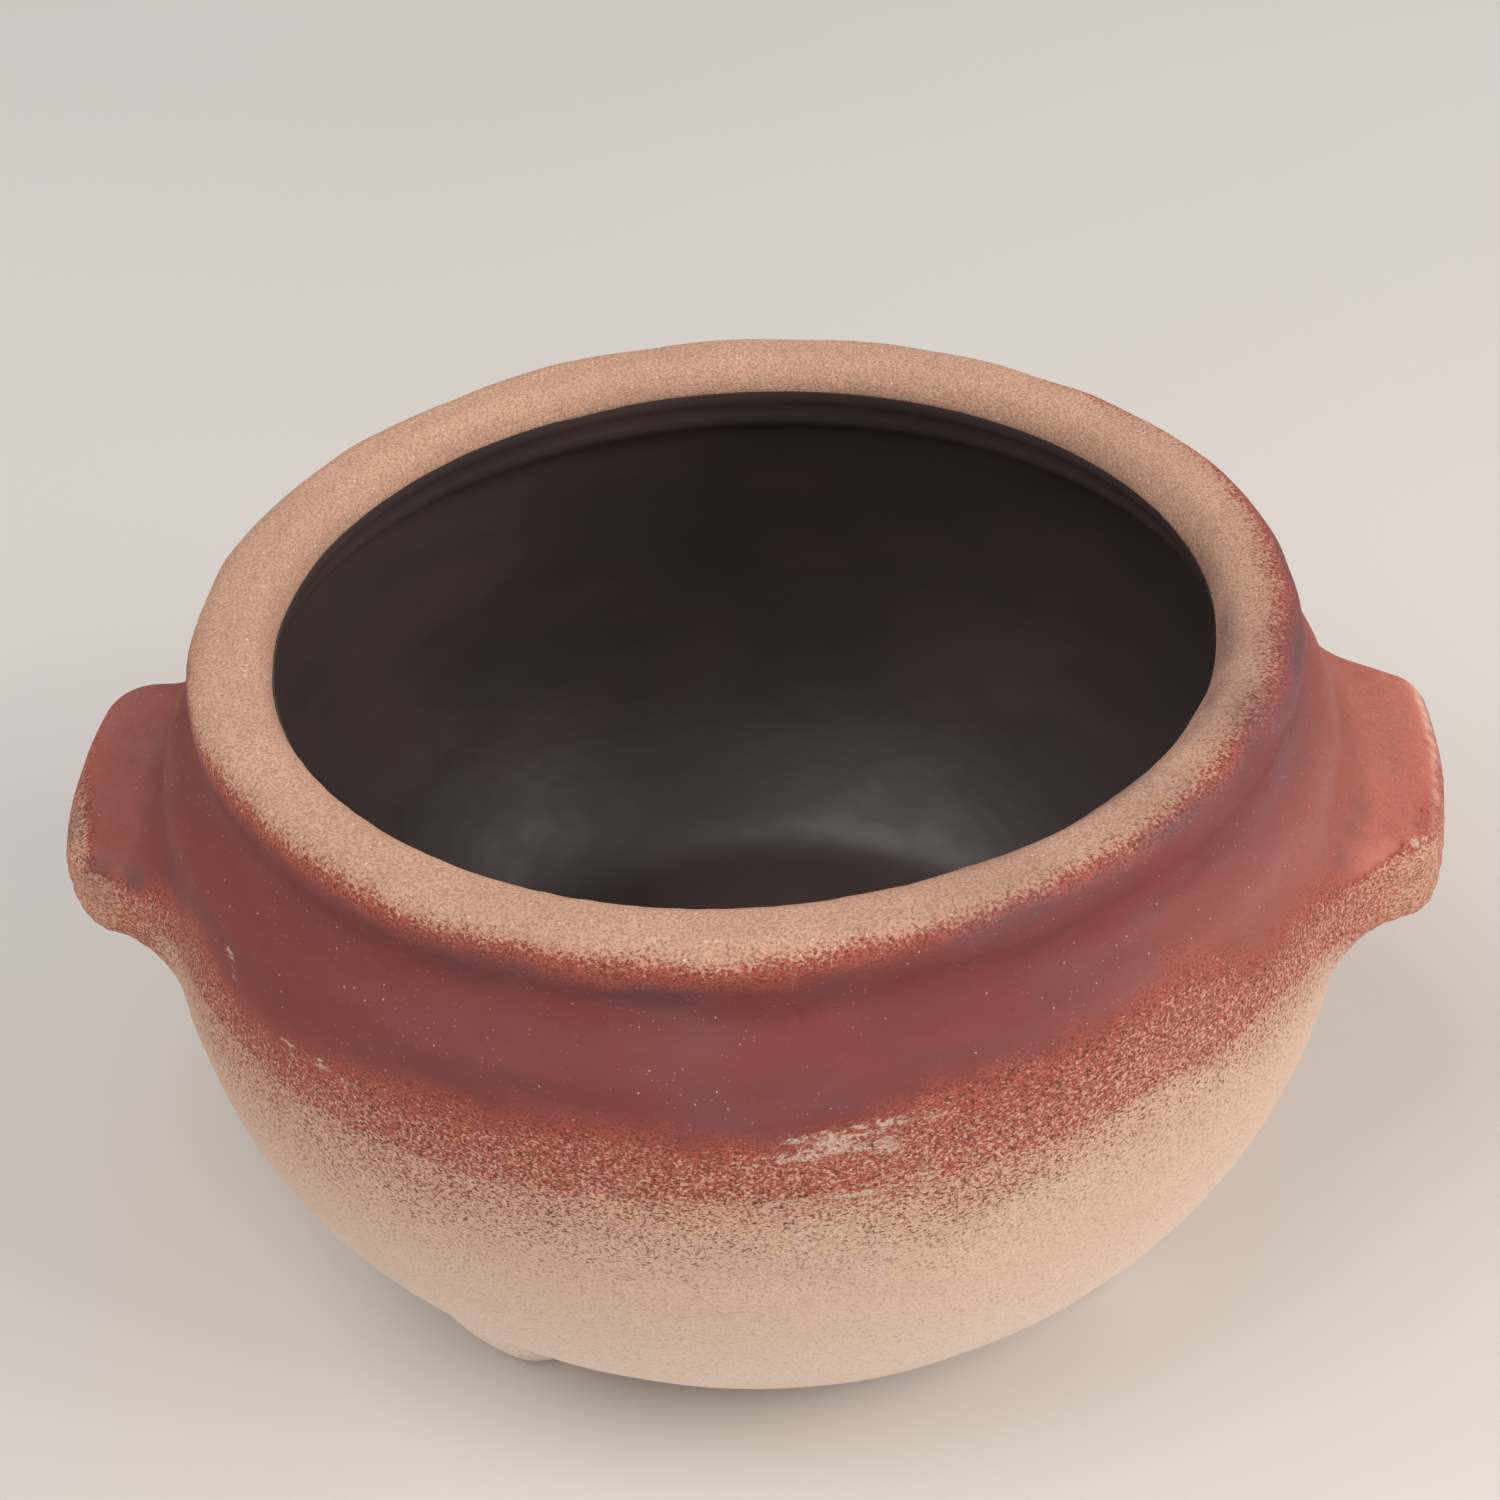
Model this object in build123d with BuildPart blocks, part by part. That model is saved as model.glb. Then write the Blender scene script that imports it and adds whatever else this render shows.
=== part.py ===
from build123d import *
from math import asin, cos, radians, sin, sqrt, tan
import os

# A small round-bellied clay cooking pot that stands on four pad feet.
# Frame: millimetres, +Z up, the origin under the pot's axis at the feet's soles, the two lugs along X.

# The outline: heights hang from the rim's top and radii grow from the mouth, so that each can change alone
height = 108.5
mouth_diameter = 145.0
rim_width = 12.9
rim_depth = 10.5
rim_outer_rounding = 4.5
rim_inner_rounding = 5.0
neck_undercut = 1.1
neck_rise = 10.0
shoulder_draw = 2.8
belly_swell = 9.1
belly_drop = 45.9
base_inset = 31.0
base_height = 3.0
base_rounding = 5.0

# The clay wall, its luting seam and the glaze inside
wall = 6.5
neck_wall = 9.0
floor = 7.0
floor_rounding = 14.0
seam_rise = 8.0
seam_bevel = 3.0
glaze = 0.8

# The lug handles
lug_projection = 15.0
lug_bow = 2.3
lug_tip_width = 47.5
lug_root_width = 62.0
lug_rise = 15.0
lug_thickness = 16.0
lug_corner_rounding = 7.5
lug_edge_rounding = 5.0
lug_flare = 7.0
lug_bed_depth = 0.2

# The feet, balls of clay that are pressed flat and flare up to the bowl
foot_count = 4
foot_first_azimuth = -36.1
foot_circle_inset = 3.2
foot_diameter = 30.9
foot_flare_height = 12.0
foot_sole_diameter = 17.6
foot_sole_rounding = 2.0

# One overrun serves every cut
overrun = 10.0

# Radii and heights that follow from the sizes above
mouth_radius = mouth_diameter / 2
rim_radius = mouth_radius + rim_width
crown_inner_radius = mouth_radius + rim_inner_rounding
crown_outer_radius = rim_radius - rim_outer_rounding
neck_radius = rim_radius - neck_undercut
belly_radius = rim_radius + belly_swell
shoulder_radius = belly_radius - shoulder_draw
base_radius = belly_radius - base_inset
neck_height = height - rim_depth
shoulder_height = neck_height - neck_rise
belly_height = height - belly_drop
seam_height = belly_height + seam_rise
floor_height = base_height + floor
lip_height = height - rim_inner_rounding
swell_height = height - rim_outer_rounding

# The body's side follows two ellipses that meet upright at the belly: the lower one ends at the base's edge
# and the upper one at the shoulder. Their half heights follow from how far each comes in.
bowl_depth = (belly_height - base_height) / sqrt(1 - (base_radius / belly_radius) ** 2)
shoulder_rise = (shoulder_height - belly_height) / sqrt(1 - (shoulder_radius / belly_radius) ** 2)
curve_pull_share = 0.5


class Side:
    """The body's side, drawn in by an inset from the outside."""

    def __init__(self, inset):
        self.half_width = belly_radius - inset
        self.depth = bowl_depth - inset
        self.rise = shoulder_rise - inset

    def half_height(self, z):
        return self.rise if z > belly_height else self.depth

    def point(self, z):
        """The side's point at height z."""
        return Vector(self.half_width * sqrt(1 - ((z - belly_height) / self.half_height(z)) ** 2), z)

    def draw_arc(self, start, end, half_height):
        """The ellipse between two points, as a curve that is pulled along it at both ends."""
        low, high = (asin((point.Y - belly_height) / half_height) for point in (start, end))
        pull = 4 / 3 * tan((high - low) / 4)
        along = [Vector(-self.half_width * sin(angle), half_height * cos(angle)) * pull
                 for angle in (low, high)]
        Bezier(start, start + along[0], end - along[1], end)
        return along[1].normalized()

    def draw(self, bottom, neck):
        """The side from a bottom height up to the shoulder, and on in an S-curve to the upright neck."""
        belly, top = self.point(belly_height), self.point(shoulder_height)
        self.draw_arc(self.point(bottom), belly, self.depth)
        lean = self.draw_arc(belly, top, self.rise)
        pull = neck_rise * curve_pull_share
        Bezier(top, top + lean * pull, neck - Vector(0, pull), neck)


outside = Side(0)
inside = Side(wall)
glazed = Side(wall + glaze)
bedded = Side(lug_bed_depth)


def draw_upright(low, high):
    """S-curve between two points at which the outline is upright."""
    middle = (low.Y + high.Y) / 2
    Bezier(low, (low.X, middle), (high.X, middle), high)


def draw_outside():
    """The outside, from the base's centre to the outer edge of the rim's flat crown."""
    neck = Vector(neck_radius, neck_height)
    Line((0, base_height), outside.point(base_height))
    outside.draw(base_height, neck)
    draw_upright(neck, Vector(rim_radius, swell_height))
    CenterArc((crown_outer_radius, swell_height), rim_outer_rounding, 0, 90)


def draw_hollow(side, skin):
    """The hollow, from the floor's centre to the foot of the lip."""
    bottom = floor_height + skin
    neck = Vector(neck_radius - neck_wall - skin, neck_height)
    Line((0, bottom), side.point(bottom))
    side.draw(bottom, neck)
    draw_upright(neck, Vector(mouth_radius - skin, lip_height))


def round_corner(sketch, side, z, radius):
    """Round the corner in which the side meets a level line at height z."""
    fillet(sketch.vertices().sort_by_distance(side.point(z))[0], radius)


# Half section of the whole clay body: bowl, shoulder and rim in one outline
with BuildSketch() as clay_section:
    with BuildLine():
        draw_outside()
        Line((crown_outer_radius, height), (crown_inner_radius, height))
        CenterArc((crown_inner_radius, lip_height), rim_inner_rounding, 90, 90)
        draw_hollow(inside, 0)
        Line((0, floor_height), (0, base_height))
    make_face()
    round_corner(clay_section, outside, base_height, base_rounding)
    round_corner(clay_section, inside, floor_height, floor_rounding)

# The joints that part it: a bevelled luting seam just above the belly, and a level one at the neck
seam_outer = outside.point(seam_height).X
seam_inner = inside.point(seam_height + seam_bevel).X
with BuildSketch() as below_seam:
    with BuildLine():
        Polyline((0, base_height), (seam_outer + overrun, base_height), (seam_outer + overrun, seam_height),
                 (seam_outer, seam_height), (seam_inner, seam_height + seam_bevel),
                 (0, seam_height + seam_bevel), close=True)
    make_face()
with BuildSketch() as below_neck:
    with Locations((0, base_height)):
        Rectangle(belly_radius + overrun, neck_height - base_height, align=(Align.MIN, Align.MIN))

# Each turned piece starts and ends its turn at the back, clear of both lugs
with BuildPart() as lower_bowl:
    with BuildSketch(Plane.YZ):
        add(clay_section.sketch)
        add(below_seam.sketch, mode=Mode.INTERSECT)
    revolve(axis=Axis.Z)

with BuildPart() as shoulder:
    with BuildSketch(Plane.YZ):
        add(clay_section.sketch)
        add(below_neck.sketch, mode=Mode.INTERSECT)
        add(below_seam.sketch, mode=Mode.SUBTRACT)
    revolve(axis=Axis.Z)

with BuildPart() as rim:
    with BuildSketch(Plane.YZ):
        add(clay_section.sketch)
        add(below_neck.sketch, mode=Mode.SUBTRACT)
    revolve(axis=Axis.Z)

# The hollow up to the foot of the lip, as the bare clay leaves it and as the glaze leaves it
with BuildSketch() as bare_hollow:
    with BuildLine():
        draw_hollow(inside, 0)
        Polyline((mouth_radius, lip_height), (0, lip_height), (0, floor_height))
    make_face()
    round_corner(bare_hollow, inside, floor_height, floor_rounding)
with BuildSketch() as glazed_hollow:
    with BuildLine():
        draw_hollow(glazed, glaze)
        Polyline((mouth_radius - glaze, lip_height), (0, lip_height), (0, floor_height + glaze))
    make_face()
    round_corner(glazed_hollow, glazed, floor_height + glaze, floor_rounding - glaze)

with BuildPart() as glaze_lining:
    with BuildSketch(Plane.YZ):
        add(bare_hollow.sketch)
        add(glazed_hollow.sketch, mode=Mode.SUBTRACT)
    revolve(axis=Axis.Z)

# The filled outside of the pot, on which the lugs and feet are luted
with BuildPart() as pot_body:
    with BuildSketch(Plane.YZ) as filled_section:
        with BuildLine():
            draw_outside()
            Polyline((crown_outer_radius, height), (0, height), (0, base_height))
        make_face()
        round_corner(filled_section, outside, base_height, base_rounding)
    revolve(axis=Axis.Z)

# The lugs' flares are drawn on a bed just under the outside, so that they run out on it with a clear edge
bed_bottom = base_height + base_rounding
with BuildPart() as lug_bed:
    with BuildSketch(Plane.YZ):
        with BuildLine():
            bed_neck = Vector(neck_radius - lug_bed_depth, neck_height)
            Line((0, bed_bottom), bedded.point(bed_bottom))
            bedded.draw(bed_bottom, bed_neck)
            Polyline((bed_neck.X, bed_neck.Y), (0, neck_height), (0, bed_bottom))
        make_face()
    revolve(axis=Axis.Z)

# A lug is a slab with a bowed tip. Its flanks meet the belly at its root and run on into the body. It is
# joined to the bed to draw its flared root, and then cut free along the body's outside, its seat.
lug_reach = belly_radius + lug_projection
lug_tip = Vector(lug_reach - lug_bow, lug_tip_width / 2)
lug_root = Vector(sqrt(belly_radius ** 2 - (lug_root_width / 2) ** 2), lug_root_width / 2)
lug_inner = lug_root + (lug_root - lug_tip).normalized() * overrun
lug_underside = belly_height + lug_rise - lug_thickness
with BuildPart() as lug_right:
    with BuildSketch(Plane.XY.offset(lug_underside)) as lug_plan:
        with BuildLine():
            ThreePointArc((lug_tip.X, -lug_tip.Y), (lug_reach, 0), (lug_tip.X, lug_tip.Y))
            Polyline((lug_tip.X, lug_tip.Y), (lug_inner.X, lug_inner.Y), (0, lug_inner.Y),
                     (0, -lug_inner.Y), (lug_inner.X, -lug_inner.Y), (lug_tip.X, -lug_tip.Y))
        make_face()
        fillet(lug_plan.vertices().sort_by(Axis.X)[-2:], lug_corner_rounding)
    extrude(amount=lug_thickness)
    slab_edges = lug_right.faces().filter_by(Axis.Z).edges()
    fillet(slab_edges.filter_by(lambda edge: edge.center().X > lug_inner.X / 2), lug_edge_rounding)
    add(lug_bed.part)
    fillet(lug_right.edges(Select.NEW), lug_flare)
    add(pot_body.part, mode=Mode.SUBTRACT)

with BuildPart() as lug_left:
    add(mirror(lug_right.part, about=Plane.YZ))

# A foot is a turned shape with a flared side, pushed up into the bowl and cut to the bowl's round
foot_circle_radius = base_radius - foot_circle_inset
foot_radius = foot_diameter / 2
foot_sole_radius = foot_sole_diameter / 2
feet = []
for quarter, name in enumerate(("foot_front_right", "foot_back_right", "foot_back_left", "foot_front_left")):
    azimuth = radians(foot_first_azimuth + 360 / foot_count * quarter)
    centre = Vector(foot_circle_radius * cos(azimuth), foot_circle_radius * sin(azimuth))
    with BuildPart() as foot:
        with BuildSketch(Plane(centre, x_dir=(1, 0, 0), z_dir=(0, -1, 0))) as foot_section:
            with BuildLine():
                Polyline((0, 0), (foot_sole_radius, 0), (foot_radius, foot_flare_height),
                         (foot_radius, belly_height), (0, belly_height), close=True)
            make_face()
            fillet(foot_section.vertices().sort_by_distance((foot_sole_radius, 0))[0], foot_sole_rounding)
        revolve(axis=Axis(centre, (0, 0, 1)))
        add(pot_body.part, mode=Mode.SUBTRACT)
    feet.append((name, foot))

os.makedirs("parts", exist_ok=True)
pieces = [("lower_bowl", lower_bowl), ("shoulder", shoulder), ("rim", rim), ("glaze_lining", glaze_lining),
          ("lug_right", lug_right), ("lug_left", lug_left)] + feet
for name, piece in pieces:
    piece.part.label = name
    export_step(piece.part, f"parts/{name}.step")
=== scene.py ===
"""The looks of a small clay cooking pot with a red slip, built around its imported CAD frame.

The pot is coarse sandy clay: a moulded bowl with a luted shoulder, a thick rolled rim, two lug handles and
four pressed feet. Every piece is meshed finely from the frame's own sizes and then made uneven as clay is.
"""

import logging
import math
from collections.abc import Callable
from dataclasses import dataclass
from enum import Enum
from typing import Union

import bpy
import numpy as np
from mathutils import Matrix, Vector


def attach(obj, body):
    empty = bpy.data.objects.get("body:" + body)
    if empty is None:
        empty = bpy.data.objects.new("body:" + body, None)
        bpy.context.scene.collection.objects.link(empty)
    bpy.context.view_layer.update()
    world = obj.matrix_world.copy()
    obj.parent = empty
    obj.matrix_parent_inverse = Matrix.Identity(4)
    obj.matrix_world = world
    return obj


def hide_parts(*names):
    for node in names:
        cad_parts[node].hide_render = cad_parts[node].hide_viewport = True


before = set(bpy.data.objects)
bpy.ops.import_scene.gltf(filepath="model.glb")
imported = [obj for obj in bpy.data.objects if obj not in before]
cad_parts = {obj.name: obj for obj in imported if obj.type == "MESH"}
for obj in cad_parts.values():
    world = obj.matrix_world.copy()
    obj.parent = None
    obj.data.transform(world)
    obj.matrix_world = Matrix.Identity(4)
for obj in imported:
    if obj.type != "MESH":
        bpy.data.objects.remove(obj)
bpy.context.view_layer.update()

LOG = logging.getLogger("pot")
MM = 0.001
# Differences of fewer millimetres than this don't count
TOUCH = 1e-6
Socket = bpy.types.NodeSocket
Given = Union[Socket, float, tuple, str]


class Slot(Enum):
    """The record's material slots."""

    BUFF_CLAY = "buff_clay"
    RED_SLIP = "red_slip"
    RIM_CLAY = "rim_clay"
    DARK_GLAZE = "dark_glaze"


def smooth(low: float, high: float, value: np.ndarray) -> np.ndarray:
    """Rises softly from 0 to 1.

    Args:
        low: Value at which the rise starts.
        high: Value at which it ends; below low the rise turns into a fall.
        value: Values to map.

    Returns:
        The share of the rise, from 0 to 1.
    """
    share = np.clip((value - low) / (high - low), 0.0, 1.0)
    return share * share * (3.0 - 2.0 * share)


class Ripples:
    """Smooth random waves through space, the same on every run."""

    count = 28
    spread = (0.65, 1.5)

    def __init__(self, seed: int, size: float, stretch: tuple = (1.0, 1.0, 1.0)) -> None:
        """Draws the waves.

        Args:
            seed: Seed of the random waves.
            size: Typical wave length in millimetres.
            stretch: How much longer the waves are along each axis.
        """
        random = np.random.default_rng(seed)
        heading = random.normal(size=(self.count, 3))
        heading /= np.linalg.norm(heading, axis=1, keepdims=True)
        length = size * random.uniform(*self.spread, (self.count, 1))
        self.waves = 2.0 * math.pi * heading / length / np.array(stretch)
        self.phases = random.uniform(0.0, 2.0 * math.pi, self.count)

    def at(self, points: np.ndarray) -> np.ndarray:
        """Height of the waves.

        Args:
            points: Points in millimetres, one row each.

        Returns:
            One value per point, mostly between -2 and 2.
        """
        return np.cos(points @ self.waves.T + self.phases).sum(axis=1) * math.sqrt(2.0 / self.count)


@dataclass(frozen=True)
class PotSizes:
    """The pot's sizes in millimetres, as the frame has them."""

    height: float = 108.5
    mouth: float = 72.5
    rim: float = 85.4
    rim_outer_rounding: float = 4.5
    rim_inner_rounding: float = 5.0
    neck: float = 84.3
    neck_height: float = 98.0
    neck_wall: float = 9.0
    shoulder_height: float = 88.0
    belly: float = 94.5
    belly_height: float = 62.6
    bowl_depth: float = 80.48
    shoulder_rise: float = 105.12
    base_height: float = 3.0
    base_softness: float = 2.4
    wall: float = 6.5
    floor_height: float = 10.0
    floor_softness: float = 6.0
    seam_height: float = 70.6
    seam_bevel: float = 3.0
    glaze: float = 0.8


class Profile:
    """Half outlines of the pot, as rows of radius and height in millimetres."""

    flat_points, side_points, curve_points, round_points, bend_points, crown_points = 60, 90, 40, 24, 14, 8
    pull = 5.0

    def __init__(self, sizes: PotSizes) -> None:
        """Keeps the sizes.

        Args:
            sizes: The pot's sizes.
        """
        self.sizes = sizes

    @staticmethod
    def bezier(start: tuple, first: tuple, second: tuple, end: tuple) -> np.ndarray:
        """Points along a pulled curve.

        Args:
            start: First point.
            first: Handle of the first point.
            second: Handle of the last point.
            end: Last point.

        Returns:
            The points, one row each.
        """
        share = np.linspace(0.0, 1.0, Profile.curve_points)[:, None]
        rest = 1.0 - share
        weights = (rest ** 3, 3 * share * rest ** 2, 3 * share ** 2 * rest, share ** 3)
        return sum(weight * np.array(point) for weight, point in zip(weights, (start, first, second, end)))

    @staticmethod
    def soften(line: np.ndarray, corner: np.ndarray, reach: float) -> np.ndarray:
        """Rounds a corner of a line of points.

        Args:
            line: The line's points.
            corner: The corner's place.
            reach: Length of line that the rounding takes on either side.

        Returns:
            The line with the corner rounded.
        """
        near = np.hypot(*(line - corner).T) < reach
        low, high = np.flatnonzero(near)[[0, -1]]
        start, end = line[low - 1], line[high + 1]
        share = np.linspace(0.0, 1.0, Profile.bend_points)[1:-1, None]
        bend = (1 - share) ** 2 * start + 2 * share * (1 - share) * corner + share ** 2 * end
        return np.vstack([line[:low], bend, line[high + 1:]])

    def disc(self, radius: float, height: float) -> np.ndarray:
        """A flat stretch from the axis outwards.

        Args:
            radius: Radius at which it ends.
            height: Its height.

        Returns:
            The stretch's points.
        """
        return np.column_stack([np.linspace(0.0, radius, self.flat_points), np.full(self.flat_points, height)])

    def side(self, inset: float, bottom: float) -> np.ndarray:
        """The body's side from a bottom height up to the shoulder.

        Args:
            inset: How far the side lies inside the outside.
            bottom: Height at which it starts.

        Returns:
            The side's points.
        """
        sizes = self.sizes
        half = sizes.belly - inset
        rows = []
        for low, high, reach in ((bottom, sizes.belly_height, sizes.bowl_depth - inset),
                                 (sizes.belly_height, sizes.shoulder_height, sizes.shoulder_rise - inset)):
            height = np.linspace(low, high, self.side_points)
            radius = half * np.sqrt(1 - ((height - sizes.belly_height) / reach) ** 2)
            rows.append(np.column_stack([radius, height]))
        return np.vstack([rows[0], rows[1][1:]])

    def neck(self, side: np.ndarray, radius: float) -> np.ndarray:
        """The S-curve from the shoulder's top to the upright neck.

        Args:
            side: The side that it goes on from.
            radius: Radius of the neck.

        Returns:
            The curve's points, without the first one.
        """
        top, lean = side[-1], side[-1] - side[-2]
        lean = lean / np.hypot(*lean) * self.pull
        end = (radius, self.sizes.neck_height)
        return self.bezier(top, top + lean, (radius, end[1] - self.pull), end)[1:]

    def outside(self) -> np.ndarray:
        """The outside from the base's centre to the lip's foot.

        Returns:
            The outside's points.
        """
        sizes = self.sizes
        side = self.side(0.0, sizes.base_height)
        base = self.disc(side[0, 0], sizes.base_height)
        swell = sizes.height - sizes.rim_outer_rounding
        middle = (sizes.neck_height + swell) / 2
        foot, top = (sizes.neck, sizes.neck_height), (sizes.rim, swell)
        roll = self.bezier(foot, (sizes.neck, middle), (sizes.rim, middle), top)
        turn = np.linspace(0.0, math.pi / 2, self.round_points)[1:, None]
        outer_centre = np.array([sizes.rim - sizes.rim_outer_rounding, swell])
        outer = outer_centre + sizes.rim_outer_rounding * np.hstack([np.cos(turn), np.sin(turn)])
        inner_centre = np.array([sizes.mouth, sizes.height]) + sizes.rim_inner_rounding * np.array([1.0, -1.0])
        inner = inner_centre + sizes.rim_inner_rounding * np.hstack([-np.sin(turn), np.cos(turn)])
        crown = np.linspace(outer[-1], inner_centre + (0.0, sizes.rim_inner_rounding), self.crown_points)[1:]
        line = np.vstack([base[:-1], side, self.neck(side, sizes.neck), roll[1:], outer, crown, inner])
        return self.soften(line, side[0], sizes.base_softness)

    def hollow(self, skin: float) -> np.ndarray:
        """The hollow from the floor's centre to the lip's foot.

        Args:
            skin: Thickness of the glaze that covers it.

        Returns:
            The hollow's points.
        """
        sizes = self.sizes
        bottom = sizes.floor_height + skin
        side = self.side(sizes.wall + skin, bottom)
        base = self.disc(side[0, 0], bottom)
        neck = self.neck(side, sizes.neck - sizes.neck_wall - skin)
        foot = (sizes.mouth - skin, sizes.height - sizes.rim_inner_rounding)
        middle = (neck[-1, 1] + foot[1]) / 2
        lip = self.bezier(neck[-1], (neck[-1, 0], middle), (foot[0], middle), foot)
        return self.soften(np.vstack([base[:-1], side, neck, lip[1:]]), side[0], sizes.floor_softness)


def cut(line: np.ndarray, low: float | None, high: float | None) -> np.ndarray:
    """The stretch of a rising outline between two heights.

    Args:
        line: Outline from low to high.
        low: Height at which the stretch starts, or none for the outline's own start.
        high: Height at which it ends, or none for the outline's own end.

    Returns:
        The stretch, with points exactly at both heights.
    """
    for height, above in ((low, True), (high, False)):
        if height is None:
            continue
        step = int(np.argmax(line[:, 1] >= height - TOUCH))
        first, second = line[step - 1], line[step]
        share = (height - first[1]) / (second[1] - first[1])
        point = first + share * (second - first)
        line = np.vstack([point, line[step:]]) if above else np.vstack([line[:step], point])
    return line


def even(line: np.ndarray, spacing: float) -> np.ndarray:
    """Spaces the points of a line evenly.

    Args:
        line: The line's points.
        spacing: Distance between points in millimetres.

    Returns:
        The line with evenly spaced points and the same ends.
    """
    run = np.concatenate([[0.0], np.cumsum(np.hypot(*np.diff(line, axis=0).T))])
    places = np.linspace(0.0, run[-1], max(2, int(math.ceil(run[-1] / spacing)) + 1))
    return np.column_stack([np.interp(places, run, line[:, axis]) for axis in (0, 1)])


@dataclass(frozen=True)
class Mark:
    """A small chip, pore or crumb in the clay, a place that is rubbed off, a place greyed by the fire, or a place
    darkened with painted shade.

    Attributes:
        azimuth: Direction from the pot's axis in degrees, from the right lug round to the back.
        height: Height in millimetres.
        across: Half width along the wall in millimetres.
        along: Half height in millimetres.
        strength: How far the clay stands out there in millimetres, or how far it is rubbed, greyed or darkened
            with painted shade, 0 to 1.
        radius: Distance from the pot's axis in millimetres for a mark on a lug's top, or 0 on the wall.
    """

    azimuth: float
    height: float
    across: float
    along: float
    strength: float
    radius: float = 0.0

    def cover(self, points: np.ndarray) -> np.ndarray:
        """How much of the mark each point has.

        Args:
            points: Points in millimetres.

        Returns:
            1 at the mark's centre, falling softly to 0.
        """
        heading = math.radians(self.azimuth)
        turn = np.arctan2(points[:, 1], points[:, 0]) - heading
        turn = (turn + math.pi) % (2 * math.pi) - math.pi
        radius = np.hypot(points[:, 0], points[:, 1])
        away = (turn * radius / self.across) ** 2 + ((points[:, 2] - self.height) / self.along) ** 2
        if self.radius:
            away = away + ((radius - self.radius) / self.across) ** 2
        return np.exp(-away)


# Pushed marks stand out, or in where they are negative, scuffed ones are rubbed pale; the greyed ones are partly
# the clay's own greying and partly painted shade
MARKS = {
    "push": (
        Mark(-98.5, 72.1, 2.6, 0.45, -0.5), Mark(-94.6, 74.4, 0.6, 0.5, -0.7),
        Mark(-87.2, 72.4, 0.7, 0.7, -0.9), Mark(-83.6, 73.6, 1.5, 0.4, -0.5),
        Mark(-74.0, 74.2, 0.9, 0.8, -0.9), Mark(-70.5, 76.3, 1.0, 0.8, -0.8),
        Mark(-98.2, 38.2, 1.5, 0.35, -0.7), Mark(-82.8, 96.4, 0.7, 0.5, -0.6),
        Mark(-38.2, 73.6, 0.5, 2.4, -0.5), Mark(-148.0, 106.9, 0.9, 0.35, -0.5),
        Mark(-24.2, 76.6, 0.9, 1.1, 0.8), Mark(-24.9, 75.6, 0.8, 0.5, -0.6),
        Mark(-33.5, 83.8, 0.9, 1.0, 0.7), Mark(-34.3, 82.9, 0.8, 0.5, -0.5),
    ),
    "scuff": (
        Mark(-84.5, 79.2, 6.0, 1.3, 0.8), Mark(-80.8, 81.0, 6.5, 2.2, 1.0),
        Mark(-77.2, 80.0, 5.0, 2.4, 0.85), Mark(-76.8, 82.8, 6.0, 1.1, 0.8),
        Mark(-73.0, 83.0, 3.0, 1.3, 0.6), Mark(-88.2, 78.2, 3.2, 0.7, 0.6),
        Mark(-84.5, 71.9, 4.2, 0.7, 0.8), Mark(-79.3, 72.2, 4.6, 0.6, 0.95),
        Mark(-75.5, 72.7, 3.0, 0.6, 0.7), Mark(-73.3, 73.5, 1.8, 1.3, 0.7),
        Mark(-67.0, 74.3, 7.0, 0.5, 0.5), Mark(-100.5, 72.0, 6.0, 1.4, 0.42),
        Mark(-108.0, 71.4, 5.0, 1.0, 0.4), Mark(-86.5, 69.3, 4.0, 1.6, 0.4),
        Mark(-142.0, 85.2, 1.2, 1.2, 0.8), Mark(-141.2, 82.5, 0.9, 1.2, 0.7),
        Mark(-132.2, 79.4, 2.0, 0.9, 0.75), Mark(-128.2, 79.2, 2.2, 1.0, 0.75),
        Mark(-124.6, 78.6, 2.6, 0.8, 0.7), Mark(-60.0, 62.5, 2.4, 1.6, 0.4),
        Mark(-46.0, 77.0, 4.0, 1.6, 0.4), Mark(-12.4, 76.6, 1.3, 2.0, 1.0, 104.6),
        Mark(-11.6, 76.6, 0.9, 2.0, 0.8, 105.8),
    ),
    "smoke_and_shade": (
        Mark(-62.0, 106.4, 14.0, 2.2, 0.8), Mark(-60.0, 101.0, 12.0, 2.4, 0.5),
        Mark(-112.0, 101.5, 16.0, 2.6, 0.8), Mark(-97.0, 100.5, 12.0, 2.4, 0.9),
        Mark(-42.0, 107.2, 12.0, 1.7, 1.0), Mark(-25.0, 107.6, 12.0, 1.7, 1.0),
        Mark(-8.0, 106.8, 12.0, 2.2, 1.0), Mark(8.0, 105.6, 12.0, 2.6, 0.8),
        Mark(-10.8, 78.8, 2.6, 3.0, 0.8, 94.4), Mark(-14.7, 78.6, 2.4, 3.0, 1.0, 93.5),
        Mark(-18.8, 78.4, 2.2, 3.0, 1.0, 93.0), Mark(-163.2, 77.0, 2.8, 2.4, 1.0, 98.5),
        Mark(-165.5, 75.5, 3.6, 3.6, 0.9, 104.0), Mark(-172.0, 75.0, 4.0, 4.0, 0.9, 107.5),
        Mark(-78.0, 89.0, 26.0, 3.0, 0.35), Mark(-112.0, 88.0, 16.0, 3.5, 0.3),
    ),
}


@dataclass(frozen=True)
class Station:
    """Where the slip lies at one direction round the pot, as heights in millimetres.

    Attributes:
        azimuth: Direction in degrees, from the right lug round to the back.
        edge: Height of the upper edge, plus most of how far the rim has drawn in there.
        full: Height at which the full coat ends.
        seam: Height of the luted seam.
        end: Height of the lowest grains of slip.
    """

    azimuth: float
    edge: float
    full: float
    seam: float
    end: float


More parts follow.
